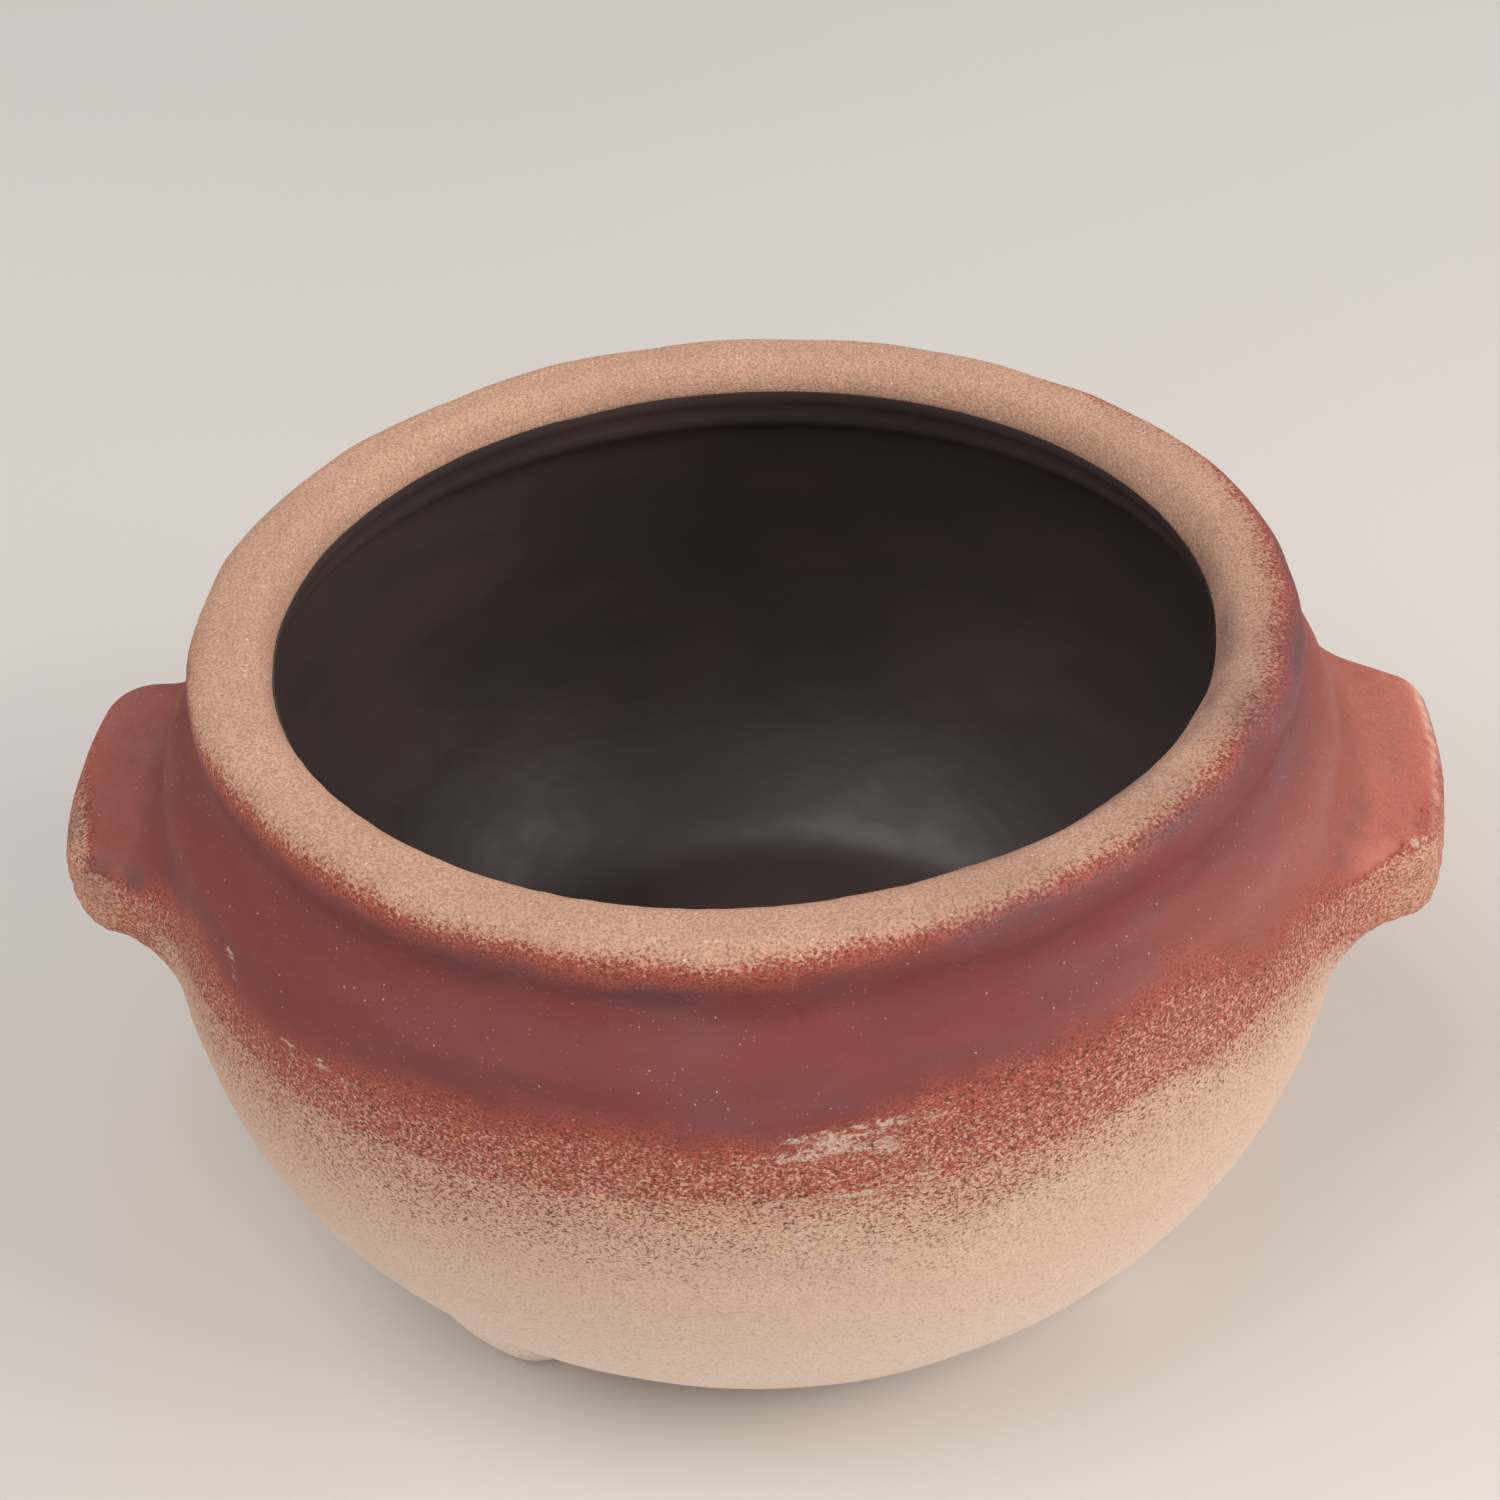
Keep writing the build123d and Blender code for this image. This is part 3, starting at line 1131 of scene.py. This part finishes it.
    def coat(self, points: np.ndarray) -> tuple[np.ndarray, np.ndarray, np.ndarray]:
        """Where the slip lies on the lug: on top, worn along the tip and thinly on the front and underside, with
        light painted on its top.

        Args:
            points: Points in millimetres.

        Returns:
            Slip, painted light and tan shares.
        """
        away = smooth(0.0, 5.0, self.field.at(points))
        x, y, z = points[:, 0] * self.side, points[:, 1], points[:, 2]
        soft = 0.8 * self.press.at(points) + 0.5 * self.rough.at(points)
        outward = self.outward(x, y)
        corner = smooth(2.0, -16.0, y)
        worn = smooth(-4.6, -1.2, outward + 0.35 * soft + 1.8 * corner)
        side = smooth(self.middle + 7.4, self.middle + 5.0, z + 0.35 * soft)
        front = side * smooth(-12.0, -20.0, y + soft)
        under = smooth(self.middle + 2.5, self.middle - 2.5, z + 0.6 * soft)
        tip = side * smooth(-6.5, -3.5, outward) * (0.5 + 0.5 * corner)
        bare = np.maximum.reduce([(self.form.wear - 0.12 + 0.24 * corner) * worn, 0.42 * under, 0.48 * tip,
                                  (0.44 + 0.16 * smooth(-14.0, -3.0, outward)) * front])
        slip = self.skin.slip(points) * (1 - away) + (1.0 - bare) * away
        # Painted light: the top is painted lighter where the light falls, more towards the tip, and a pale
        # painted highlight runs along the tip's rounded edge
        bright = self.form.bright + 0.25 * smooth(-16.0, -4.0, outward + 1.2 * soft)
        bright += (0.1 + 0.9 * self.form.bright) * smooth(-3.2, -0.2, outward + 0.3 * soft)
        painted_light = self.skin.painted_light(points) * (1 - away) + bright * away
        tan = away * np.maximum.reduce([0.5 * worn, 0.85 * front, 0.8 * under, 0.8 * tip])
        return slip, painted_light, tan


class Foot(Luted):
    """A foot: a ball of clay pressed flat under the bowl's edge."""

    circle, sole, sole_rounding, flare_angle = 60.3, 8.8, 2.2, 29.0
    least_flare, flare = 0.3, 2.2
    # The fans of rays: their starts' height, and how far they reach under the bowl and how much more outwards
    heart, patch, patch_shift = 8.0, 17.3, 4.6
    fans, rays, rows, search = 84, 90, 34, 40.0

    def __init__(self, field: BodyField, skin: ClaySkin, azimuth: float, seed: int) -> None:
        """Places the foot.

        Args:
            field: Distance from the body.
            skin: The clay skin.
            azimuth: Direction of the foot in degrees.
            seed: Seed of its own unevenness.
        """
        super().__init__(field, skin)
        self.heading = math.radians(azimuth)
        self.centre = self.circle * np.array([math.cos(self.heading), math.sin(self.heading)])
        self.squash = Ripples(seed, 11.0)
        self.sand = Ripples(seed + 1, 2.6)

    def solid(self, points: np.ndarray) -> np.ndarray:
        """Distance from the foot joined to the body.

        Args:
            points: Points in millimetres.

        Returns:
            Distances in millimetres.
        """
        away = points[:, :2] - self.centre
        wide = np.hypot(*away.T)
        lean = math.radians(self.flare_angle)
        side = (wide - self.sole - points[:, 2] * math.tan(lean)) * math.cos(lean)
        lump = trim(side, -points[:, 2], self.sole_rounding)
        # Outwards the foot runs up along the bowl, so that it has almost no hollow rounding there
        outward = away @ self.centre / self.circle / np.maximum(wide, 1.0)
        flare = self.least_flare + self.flare * smooth(0.85, -0.1, outward)
        return join(lump, self.field.at(points) + self.sink, flare)

    def unevenness(self, points: np.ndarray) -> np.ndarray:
        """The unevenness of pressed clay, which leaves the sole flat.

        Args:
            points: Points in millimetres.

        Returns:
            Distances outwards in millimetres.
        """
        off = smooth(0.0, 2.5, points[:, 2])
        own = 0.16 * self.squash.at(points) + 0.03 * self.sand.at(points)
        return off * (self.skin.push(points) + own * smooth(0.0, 3.0, self.field.at(points)))

    def shape(self) -> Shape:
        """The foot's closed skin.

        Returns:
            The foot's shape.
        """
        turn = np.linspace(0.0, 2.0 * math.pi, self.fans, endpoint=False)
        wide = self.patch + self.patch_shift * np.cos(turn - self.heading)
        level = np.column_stack([np.cos(turn), np.sin(turn)])
        edge = self.centre + level * wide[:, None]
        steep = np.arctan2(self.surface(np.hypot(*edge.T)) - self.heart, wide)
        share = np.linspace(0.0, 1.0, self.rays)
        angle = -math.pi / 2 * (1 - share) + steep[:, None] * share
        rays = np.stack([np.cos(angle) * level[:, :1], np.cos(angle) * level[:, 1:2], np.sin(angle)], axis=-1)
        starts = np.column_stack([np.tile(self.centre, (self.fans, 1)), np.full(self.fans, self.heart)])
        return self.closed(*self.sheet(starts, rays, self.rows, self.search))

    def surface(self, radius: np.ndarray) -> np.ndarray:
        """Height of the body's underside.

        Args:
            radius: Distances from the pot's axis.

        Returns:
            Heights in millimetres.
        """
        heights = np.linspace(0.0, 45.0, 300)
        found = []
        for value in radius:
            line = np.column_stack([np.full(len(heights), value), np.zeros(len(heights)), heights])
            found.append(heights[int(np.argmax(self.field.at(line) < 0.0))])
        return np.array(found)

    def closed(self, front: np.ndarray, back: np.ndarray) -> Shape:
        """Closes the skin with its seat.

        Args:
            front: Skin points as fans of rows, from the sole's middle outwards.
            back: Seat points as fans of rows.

        Returns:
            The closed shape.
        """
        fans, rows = front.shape[:2]
        sheets, faces, rims = [], [], []
        for start, sheet, way in ((0, front, 1), (1 + fans * (rows - 1), back, -1)):
            sheets += [sheet[:1, 0], sheet[:, 1:].reshape(-1, 3)]
            number = start + 1 + np.arange(fans * (rows - 1)).reshape(fans, rows - 1)
            rims.append(number[:, -1])
            for fan in range(fans):
                after = (fan + 1) % fans
                strip = [(start, number[after, 0], number[fan, 0])]
                strip += [(number[fan, row], number[after, row], number[after, row + 1], number[fan, row + 1])
                          for row in range(rows - 2)]
                faces += [face[::way] for face in strip]
        for fan in range(fans):
            after = (fan + 1) % fans
            faces.append((rims[0][fan], rims[0][after], rims[1][after], rims[1][fan]))
        faces = [tuple(int(point) for point in face) for face in faces]
        points = np.vstack(sheets)
        bare = np.zeros(len(points))
        return Shape(points, faces, self.skin.slip(points), bare, bare, self.skin)


def linear(code: str) -> tuple[float, float, float, float]:
    """Turns a written colour into the light values that Blender works with.

    Args:
        code: Colour as six hex digits.

    Returns:
        Red, green, blue and 1.
    """
    values = [int(code[start:start + 2], 16) / 255 for start in (0, 2, 4)]
    return (*(v / 12.92 if v <= 0.04045 else ((v + 0.055) / 1.055) ** 2.4 for v in values), 1.0)


class Finish:
    """A material that is built node by node."""

    def __init__(self, name: str) -> None:
        """Starts the material.

        Args:
            name: The material's name.
        """
        self.material = bpy.data.materials.new(name)
        self.material.use_nodes = True
        self.tree = self.material.node_tree
        self.shader = self.tree.nodes["Principled BSDF"]
        self.place = self.node("ShaderNodeTexCoord").outputs["Object"]

    def node(self, kind: str, settings: dict | None = None, inputs: dict | None = None) -> bpy.types.Node:
        """Adds a node.

        Args:
            kind: The node's type.
            settings: Its settings.
            inputs: Its inputs by name or number: a value, or an output to link.

        Returns:
            The node.
        """
        made = self.tree.nodes.new(kind)
        for name, value in (settings or {}).items():
            setattr(made, name, value)
        for name, value in (inputs or {}).items():
            self.set(made.inputs[name], value)
        return made

    def set(self, socket: Socket, value: Given) -> None:
        """Sets or links an input.

        Args:
            socket: The input.
            value: A value or an output.
        """
        if isinstance(value, Socket):
            self.tree.links.new(value, socket)
        else:
            socket.default_value = value

    def math(self, operation: str, *values: Given) -> Socket:
        """Adds a sum.

        Args:
            operation: What it works out.
            *values: Values or outputs.

        Returns:
            The result.
        """
        return self.node("ShaderNodeMath", {"operation": operation}, dict(enumerate(values))).outputs[0]

    def times(self, first: Given, second: Given) -> Socket:
        """Multiplies two values.

        Args:
            first: Value or output.
            second: Value or output.

        Returns:
            The product.
        """
        return self.math("MULTIPLY", first, second)

    def ramp(self, value: Given, low: float, high: float, bottom: float = 0.0, top: float = 1.0) -> Socket:
        """Maps a value softly from one span to another.

        Args:
            value: The output to map.
            low: Start of its span.
            high: End of its span.
            bottom: Result at the start.
            top: Result at the end.

        Returns:
            The mapped value.
        """
        return self.node("ShaderNodeMapRange", {"interpolation_type": "SMOOTHSTEP"},
                         {0: value, 1: low, 2: high, 3: bottom, 4: top}).outputs[0]

    def mix(self, share: Given, first: Given, second: Given) -> Socket:
        """Mixes two colours.

        Args:
            share: Share of the second colour.
            first: Colour code or output.
            second: Colour code or output.

        Returns:
            The mixed colour.
        """
        made = self.node("ShaderNodeMix", {"data_type": "RGBA"})
        self.set(made.inputs[0], share)
        for socket, value in ((made.inputs[6], first), (made.inputs[7], second)):
            self.set(socket, linear(value) if isinstance(value, str) else value)
        return made.outputs[2]

    def noise(self, size: float, detail: float = 2.0, rough: float = 0.5, flat: float = 1.0,
              shift: float = 0.0) -> Socket:
        """Cloudy noise.

        Args:
            size: Size of its clouds in millimetres.
            detail: Number of finer layers.
            rough: Strength of the finer layers.
            flat: How much the clouds are flattened upright, as streaks round the pot.
            shift: Shift that makes one noise unlike another, in metres.

        Returns:
            The noise, from 0 to 1 around 0.5.
        """
        scaled = self.node("ShaderNodeMapping", {}, {"Vector": self.place, "Scale": (1.0, 1.0, flat),
                                                     "Location": (shift, shift, shift)})
        return self.node("ShaderNodeTexNoise", {}, {"Vector": scaled.outputs[0], "Scale": 1.0 / (size * MM),
                                                    "Detail": detail, "Roughness": rough}).outputs["Fac"]

    def specks(self, spacing: float, size: float, share: float, shift: float = 0.0) -> Socket:
        """Scattered grains.

        Args:
            spacing: Distance between places that may hold a grain, in millimetres.
            size: Size of a grain in millimetres.
            share: Share of the places that hold one.
            shift: Shift that makes one scatter unlike another, in metres.

        Returns:
            1 in a grain and 0 elsewhere.
        """
        moved = self.node("ShaderNodeMapping", {}, {"Vector": self.place, "Location": (shift, shift, shift)})
        cells = self.node("ShaderNodeTexVoronoi", {"feature": "F1"},
                          {"Vector": moved.outputs[0], "Scale": 1.0 / (spacing * MM), "Randomness": 1.0})
        grain = self.ramp(cells.outputs["Distance"], 0.5 * size / spacing * 1.3, 0.5 * size / spacing * 0.5)
        pick = self.node("ShaderNodeSeparateColor", {}, {0: cells.outputs["Color"]}).outputs[0]
        return self.math("MULTIPLY", grain, self.math("LESS_THAN", pick, share))

    def value(self, name: str) -> Socket:
        """Reads what the mesh says of each point.

        Args:
            name: Name of the mesh's attribute.

        Returns:
            Its value.
        """
        return self.node("ShaderNodeAttribute", {"attribute_name": name}).outputs["Fac"]


@dataclass(frozen=True)
class ClayColours:
    """Colours of the fired clay and its slip."""

    buff: str = "dcc0ab"
    # Pale buff for low down: partly the clay's own tone, partly painted light reflected up from below
    buff_pale_lit: str = "f0e0d2"
    buff_warm: str = "d0a892"
    rim: str = "d6aa91"
    rim_dark: str = "ad8570"
    slip: str = "803b36"
    slip_dark: str = "743735"
    slip_grey: str = "78494c"
    # Coat colours for painted light and for a pale painted highlight
    slip_lit: str = "cd7c6a"
    slip_highlight: str = "e4bca8"
    slip_ember: str = "ae5646"
    slip_umber: str = "9c6450"
    slip_flake: str = "6c3028"
    stain: str = "d0917a"
    grain_dark: str = "5c3027"
    grain_pale: str = "f0dfcd"
    scrape: str = "ccb1a0"
    # Grey of the clay's greying, also used as painted shade at the neck and on the lugs
    smoke_and_shade: str = "5c4549"


def clay(name: str, colours: ClayColours) -> bpy.types.Material:
    """Coarse sandy clay, biscuit fired, with a thin red slip that is brushed on its upper half.

    The same finish runs over the bowl, shoulder, rim, lugs and feet, so that it goes on over their joints.

    Args:
        name: The material's name.
        colours: The colours.

    Returns:
        The material.
    """
    made = Finish(name)
    slip, painted_light, tan, scuff, smoke_and_shade = (made.value(label) for label in ("slip", "painted_light", "tan", "scuff", "smoke_and_shade"))
    # The sand is drawn in grains of about 0.3 mm, where the finest are 0.2 mm, so that they still show
    grain = made.noise(0.60, 3.0, 0.7, flat=1.35)
    dust = made.noise(0.45, 2.0, 0.6, flat=1.3, shift=0.31)
    pore = made.noise(0.66, 2.0, 0.65, flat=1.6, shift=0.77)
    clouds = made.noise(20.0, 3.0, 0.55, flat=1.8, shift=0.11)
    streaks = made.noise(15.0, 4.0, 0.55, flat=4.0, shift=0.52)
    place = made.node("ShaderNodeSeparateXYZ", {}, {0: made.place})
    height = place.outputs[2]
    # Bare clay: pale buff low down, partly its own tone and partly painted light reflected up from below, warmer
    # at the belly and brown on the rim, broken up by its sand
    low = made.ramp(height, 0.015, 0.056, 0.8, 0.0)
    warm = made.times(made.ramp(height, 0.046, 0.074), made.ramp(clouds, 0.3, 0.7, 0.5, 1.0))
    body = made.mix(low, colours.buff, colours.buff_pale_lit)
    body = made.mix(made.times(warm, 0.6), body, colours.buff_warm)
    roll = made.mix(made.ramp(clouds, 0.35, 0.65, 0.0, 0.25), colours.rim, colours.rim_dark)
    bare = made.mix(tan, body, roll)
    sandy = made.math("MAXIMUM", tan, made.ramp(height, 0.045, 0.072, 0.22, 0.8))
    sandy = made.times(sandy, made.ramp(dust, 0.58, 0.38, 0.0, 0.85))
    bare = made.mix(sandy, bare, colours.rim_dark)
    bare = made.mix(made.ramp(slip, 0.12, 0.65, 0.0, 0.5), bare, colours.stain)
    # Pale sand grains, most on the rim, whose brightest points are painted glints
    pale_grains_and_glints = made.times(made.specks(1.4, 0.42, 0.28), made.ramp(tan, 0.0, 1.0, 0.3, 0.75))
    bare = made.mix(pale_grains_and_glints, bare, colours.grain_pale)
    # Slip: maroon with greyer clouds, soft streaks from the brush and a few specks of sand
    sides = made.math("MAXIMUM", made.ramp(place.outputs[0], -0.07, 0.06, 0.3, 0.9),
                      made.ramp(place.outputs[0], -0.085, -0.1, 0.0, 1.0))
    greyed = made.times(made.ramp(clouds, 0.40, 0.66), sides)
    coat = made.mix(greyed, colours.slip, colours.slip_grey)
    coat = made.mix(made.ramp(streaks, 0.38, 0.64, 0.0, 0.6), coat, colours.slip_dark)
    # Painted light: the coat is painted lighter where the light falls, towards the right lug and on the lug tops,
    # and paler in a painted highlight along the right lug's tip
    lit_share = made.times(made.math("MINIMUM", painted_light, 1.0), made.ramp(grain, 0.30, 0.70, 0.7, 1.0))
    coat = made.mix(lit_share, coat, colours.slip_lit)
    highlight_share = made.times(made.ramp(painted_light, 0.85, 1.45), made.ramp(grain, 0.30, 0.60, 0.5, 1.0))
    coat = made.mix(highlight_share, coat, colours.slip_highlight)
    # Where it thins out it turns red and flaky, then brown, and stays only on the grains that stand out
    flaky = made.mix(made.ramp(dust, 0.54, 0.38, 0.0, 0.9), colours.slip_ember, colours.slip_flake)
    coat = made.mix(made.ramp(slip, 0.68, 1.0, 0.85, 0.0), coat, flaky)
    coat = made.mix(made.ramp(slip, 0.28, 0.50, 0.8, 0.0), coat, colours.slip_umber)
    coat = made.mix(made.times(made.specks(1.5, 0.28, 0.24, 0.2), 0.5), coat, colours.grain_pale)
    sand = made.times(made.specks(0.95, 0.32, 0.5, 0.6), made.ramp(clouds, 0.40, 0.6, 0.08, 0.42))
    coat = made.mix(sand, coat, colours.stain)
    level = made.math("SUBTRACT", 0.76, made.times(slip, 0.55))
    cover = made.ramp(made.math("SUBTRACT", grain, level), -0.085, 0.085)
    colour = made.mix(cover, bare, coat)
    pits = made.times(made.ramp(slip, 0.03, 0.35, 0.25, 0.85), made.ramp(slip, 0.70, 0.95, 1.0, 0.05))
    pits = made.times(made.ramp(pore, 0.57, 0.66), pits)
    pits = made.times(pits, made.ramp(tan, 0.4, 0.9, 1.0, 0.6))
    colour = made.mix(pits, colour, colours.grain_dark)
    # Greyed places: on the rim's edge the clay's own greying, at the neck under the rim and along the lugs' front
    # top edges painted shade
    sooty_and_shade = made.times(smoke_and_shade, made.ramp(streaks, 0.3, 0.65, 0.3, 0.65))
    colour = made.mix(sooty_and_shade, colour, colours.smoke_and_shade)
    # Rubbed places, broken up into short streaks
    torn = made.times(made.math("SUBTRACT", made.noise(1.1, 3.0, 0.7, flat=1.6, shift=0.9), 0.5), 2.4)
    drawn = made.times(made.math("SUBTRACT", made.noise(3.6, 3.0, 0.6, flat=5.0, shift=1.3), 0.5), 2.0)
    rub = made.math("ADD", scuff, made.math("ADD", torn, drawn))
    rubbed = made.times(made.ramp(rub, 0.36, 0.98), made.ramp(scuff, 0.04, 0.35, 0.0, 0.95))
    rubbed = made.times(rubbed, made.ramp(dust, 0.36, 0.56, 0.35, 1.0))
    colour = made.mix(rubbed, colour, colours.scrape)
    made.set(made.shader.inputs["Base Color"], colour)
    made.set(made.shader.inputs["Roughness"], made.ramp(cover, 0.0, 1.0, 0.92, 0.66))
    made.set(made.shader.inputs["Specular IOR Level"], 0.35)
    # The sand stands out where the clay is bare and is smoothed over by the slip and towards the base
    evenness = made.ramp(height, 0.004, 0.060, 0.45, 1.0)
    smoothness = made.times(made.ramp(slip, 0.3, 0.9, 1.0, 0.22), evenness)
    relief = made.math("ADD", made.times(grain, 0.5), made.times(dust, 0.35))
    relief = made.math("SUBTRACT", relief, made.times(pits, 0.45))
    relief = made.times(relief, smoothness)
    relief = made.math("SUBTRACT", relief, made.times(rubbed, 0.12))
    bump = made.node("ShaderNodeBump", {}, {"Height": relief, "Distance": 0.35 * MM, "Strength": 1.0})
    made.set(made.shader.inputs["Normal"], bump.outputs[0])
    return made.material


def glaze(name: str) -> bpy.types.Material:
    """Dark brown-black glaze, dipped and fired to a satin surface that shows the wall's turning under it.

    Args:
        name: The material's name.

    Returns:
        The material.
    """
    made = Finish(name)
    clouds = made.noise(30.0, 3.0, 0.5, flat=2.0)
    colour = made.mix(made.ramp(clouds, 0.35, 0.7), "4a3f3d", "554642")
    made.set(made.shader.inputs["Base Color"], colour)
    gloss = made.noise(9.0, 4.0, 0.6, shift=0.4)
    made.set(made.shader.inputs["Roughness"], made.ramp(gloss, 0.3, 0.7, 0.38, 0.48))
    made.set(made.shader.inputs["IOR"], 1.5)
    ripple = made.math("ADD", made.noise(7.0, 2.0, 0.5, flat=1.5), made.times(made.noise(1.2), 0.08))
    bump = made.node("ShaderNodeBump", {}, {"Height": ripple, "Distance": 0.20 * MM, "Strength": 0.6})
    made.set(made.shader.inputs["Normal"], bump.outputs[0])
    return made.material


class Pot:
    """The whole pot."""

    foot_azimuths = {"foot_front_right": -36.1, "foot_back_right": 53.9, "foot_back_left": 143.9,
                     "foot_front_left": 233.9}
    foot_seed, seed_step = 400, 10

    def __init__(self) -> None:
        """Prepares the shapes' makers and the finishes."""
        self.sizes = PotSizes()
        self.skin = ClaySkin(self.sizes)
        self.body = Body(self.sizes, self.skin)
        self.field = BodyField(self.body.outside)
        colours = ClayColours()
        self.finishes = {slot: clay(slot.value, colours)
                         for slot in (Slot.BUFF_CLAY, Slot.RED_SLIP, Slot.RIM_CLAY)}
        self.finishes[Slot.DARK_GLAZE] = glaze(Slot.DARK_GLAZE.value)

    def build(self) -> None:
        """Builds every piece."""
        pieces = [("lower_bowl", self.body.bowl(), Slot.BUFF_CLAY),
                  ("shoulder", self.body.shoulder(), Slot.RED_SLIP),
                  ("rim", self.body.rim(), Slot.RIM_CLAY),
                  ("glaze_lining", self.body.lining(), Slot.DARK_GLAZE)]
        for node, form in LUGS.items():
            pieces.append((node, Lug(self.field, self.skin, form).shape(), Slot.RED_SLIP))
        for number, (node, azimuth) in enumerate(self.foot_azimuths.items()):
            foot = Foot(self.field, self.skin, azimuth, self.foot_seed + self.seed_step * number)
            pieces.append((node, foot.shape(), Slot.BUFF_CLAY))
        for node, shape, slot in pieces:
            shape.build(node + "_fired", node, slot, self.finishes[slot])


class Studio:
    """The plain pale floor, the soft light and the camera."""

    # Where the picture was taken from: degrees up, to the right and of roll, metres away, and what it aims at
    rise, swing, roll = 37.44, 4.3, -3.33
    stand, aim_height = 0.483 * 72.5 / 72.0, 0.06455
    # How far the point aimed at lies off the picture's middle, in pixels of a picture 1500 wide
    picture, off_right, off_up = 1500.0, 5.0, 73.0
    lens, sensor = 72.0, 36.0
    sky, sky_power = "f3f0ee", 0.56

    def floor(self) -> None:
        """Lays a pale matt floor under the pot."""
        bpy.ops.mesh.primitive_plane_add(size=8.0, location=(0.0, 0.0, 0.0))
        plane = bpy.context.active_object
        plane.name = "floor"
        made = Finish("pale_floor")
        # A faint cloudiness, as of a wiped matt board
        tone = made.ramp(made.noise(400.0, 2.0), 0.2, 0.8, 0.0, 1.0)
        made.set(made.shader.inputs["Base Color"], made.mix(tone, "dad5d0", "dedad6"))
        made.set(made.shader.inputs["Roughness"], 0.95)
        made.set(made.shader.inputs["Specular IOR Level"], 0.1)
        plane.data.materials.append(made.material)

    def light(self, name: str, place: tuple, aim: tuple, size: float, power: float, tint: str) -> None:
        """Hangs a soft square light.

        Args:
            name: The light's name.
            place: Where it hangs, in metres.
            aim: The point it faces.
            size: Its edge in metres.
            power: Its power in watts.
            tint: Its colour.
        """
        data = bpy.data.lights.new(name, "AREA")
        data.size, data.energy, data.color = size, power, linear(tint)[:3]
        lamp = bpy.data.objects.new(name, data)
        lamp.location = place
        lamp.rotation_euler = (Vector(aim) - Vector(place)).to_track_quat("-Z", "Y").to_euler()
        bpy.context.scene.collection.objects.link(lamp)

    def lights(self) -> None:
        """Sets soft lights from the right, from above and from the front, and an even sky."""
        heart = (0.0, 0.0, 0.05)
        self.light("right", (1.25, -0.35, 0.75), heart, 0.9, 12.5, "fff9f4")
        self.light("above", (-0.55, -0.35, 1.35), heart, 1.0, 8.5, "fbf9f8")
        self.light("front", (0.1, -1.4, 0.22), heart, 0.8, 3.5, "fff8f2")
        world = bpy.data.worlds.new("sky")
        world.use_nodes = True
        world.node_tree.nodes["Background"].inputs[0].default_value = linear(self.sky)
        world.node_tree.nodes["Background"].inputs[1].default_value = self.sky_power
        bpy.context.scene.world = world

    def camera(self) -> None:
        """Stands the camera where the picture was taken from: from above, slightly right and rolled."""
        height, around, roll = (math.radians(value) for value in (self.rise, self.swing, self.roll))
        focal, target = self.lens / self.sensor * self.picture, Vector((0.0, 0.0, self.aim_height))
        level = math.cos(height)
        back = Vector((level * math.sin(around), -level * math.cos(around), math.sin(height)))
        right = Vector((math.cos(around), math.sin(around), 0.0))
        up = back.cross(right)
        right, up = (math.cos(roll) * right + math.sin(roll) * up,
                     -math.sin(roll) * right + math.cos(roll) * up)
        pan, tilt = math.atan2(self.off_right, focal), math.atan2(self.off_up, focal)
        turn = Matrix(((math.cos(pan), 0, math.sin(pan)), (0, 1, 0), (-math.sin(pan), 0, math.cos(pan))))
        nod = Matrix(((1, 0, 0), (0, math.cos(tilt), math.sin(tilt)), (0, -math.sin(tilt), math.cos(tilt))))
        axes = nod @ turn @ Matrix((right, -up, -back))
        facing = Matrix((axes[0], -axes[1], -axes[2])).transposed()
        data = bpy.data.cameras.new("camera")
        data.lens, data.sensor_width, data.clip_start = self.lens, self.sensor, 0.01
        data.dof.use_dof = False
        camera = bpy.data.objects.new("camera", data)
        camera.matrix_world = Matrix.Translation(target + back * self.stand) @ facing.to_4x4()
        bpy.context.scene.collection.objects.link(camera)
        bpy.context.scene.camera = camera

    def build(self) -> None:
        """Sets up the floor, lights, camera and view."""
        self.floor()
        self.lights()
        self.camera()
        bpy.context.scene.view_settings.view_transform = "Standard"


def main() -> None:
    """Builds the pot and its studio, and logs how many points and faces each piece has."""
    logging.basicConfig(level=logging.INFO, format="%(message)s")
    Pot().build()
    Studio().build()
    bpy.context.view_layer.update()


if __name__ == "__main__":
    main()
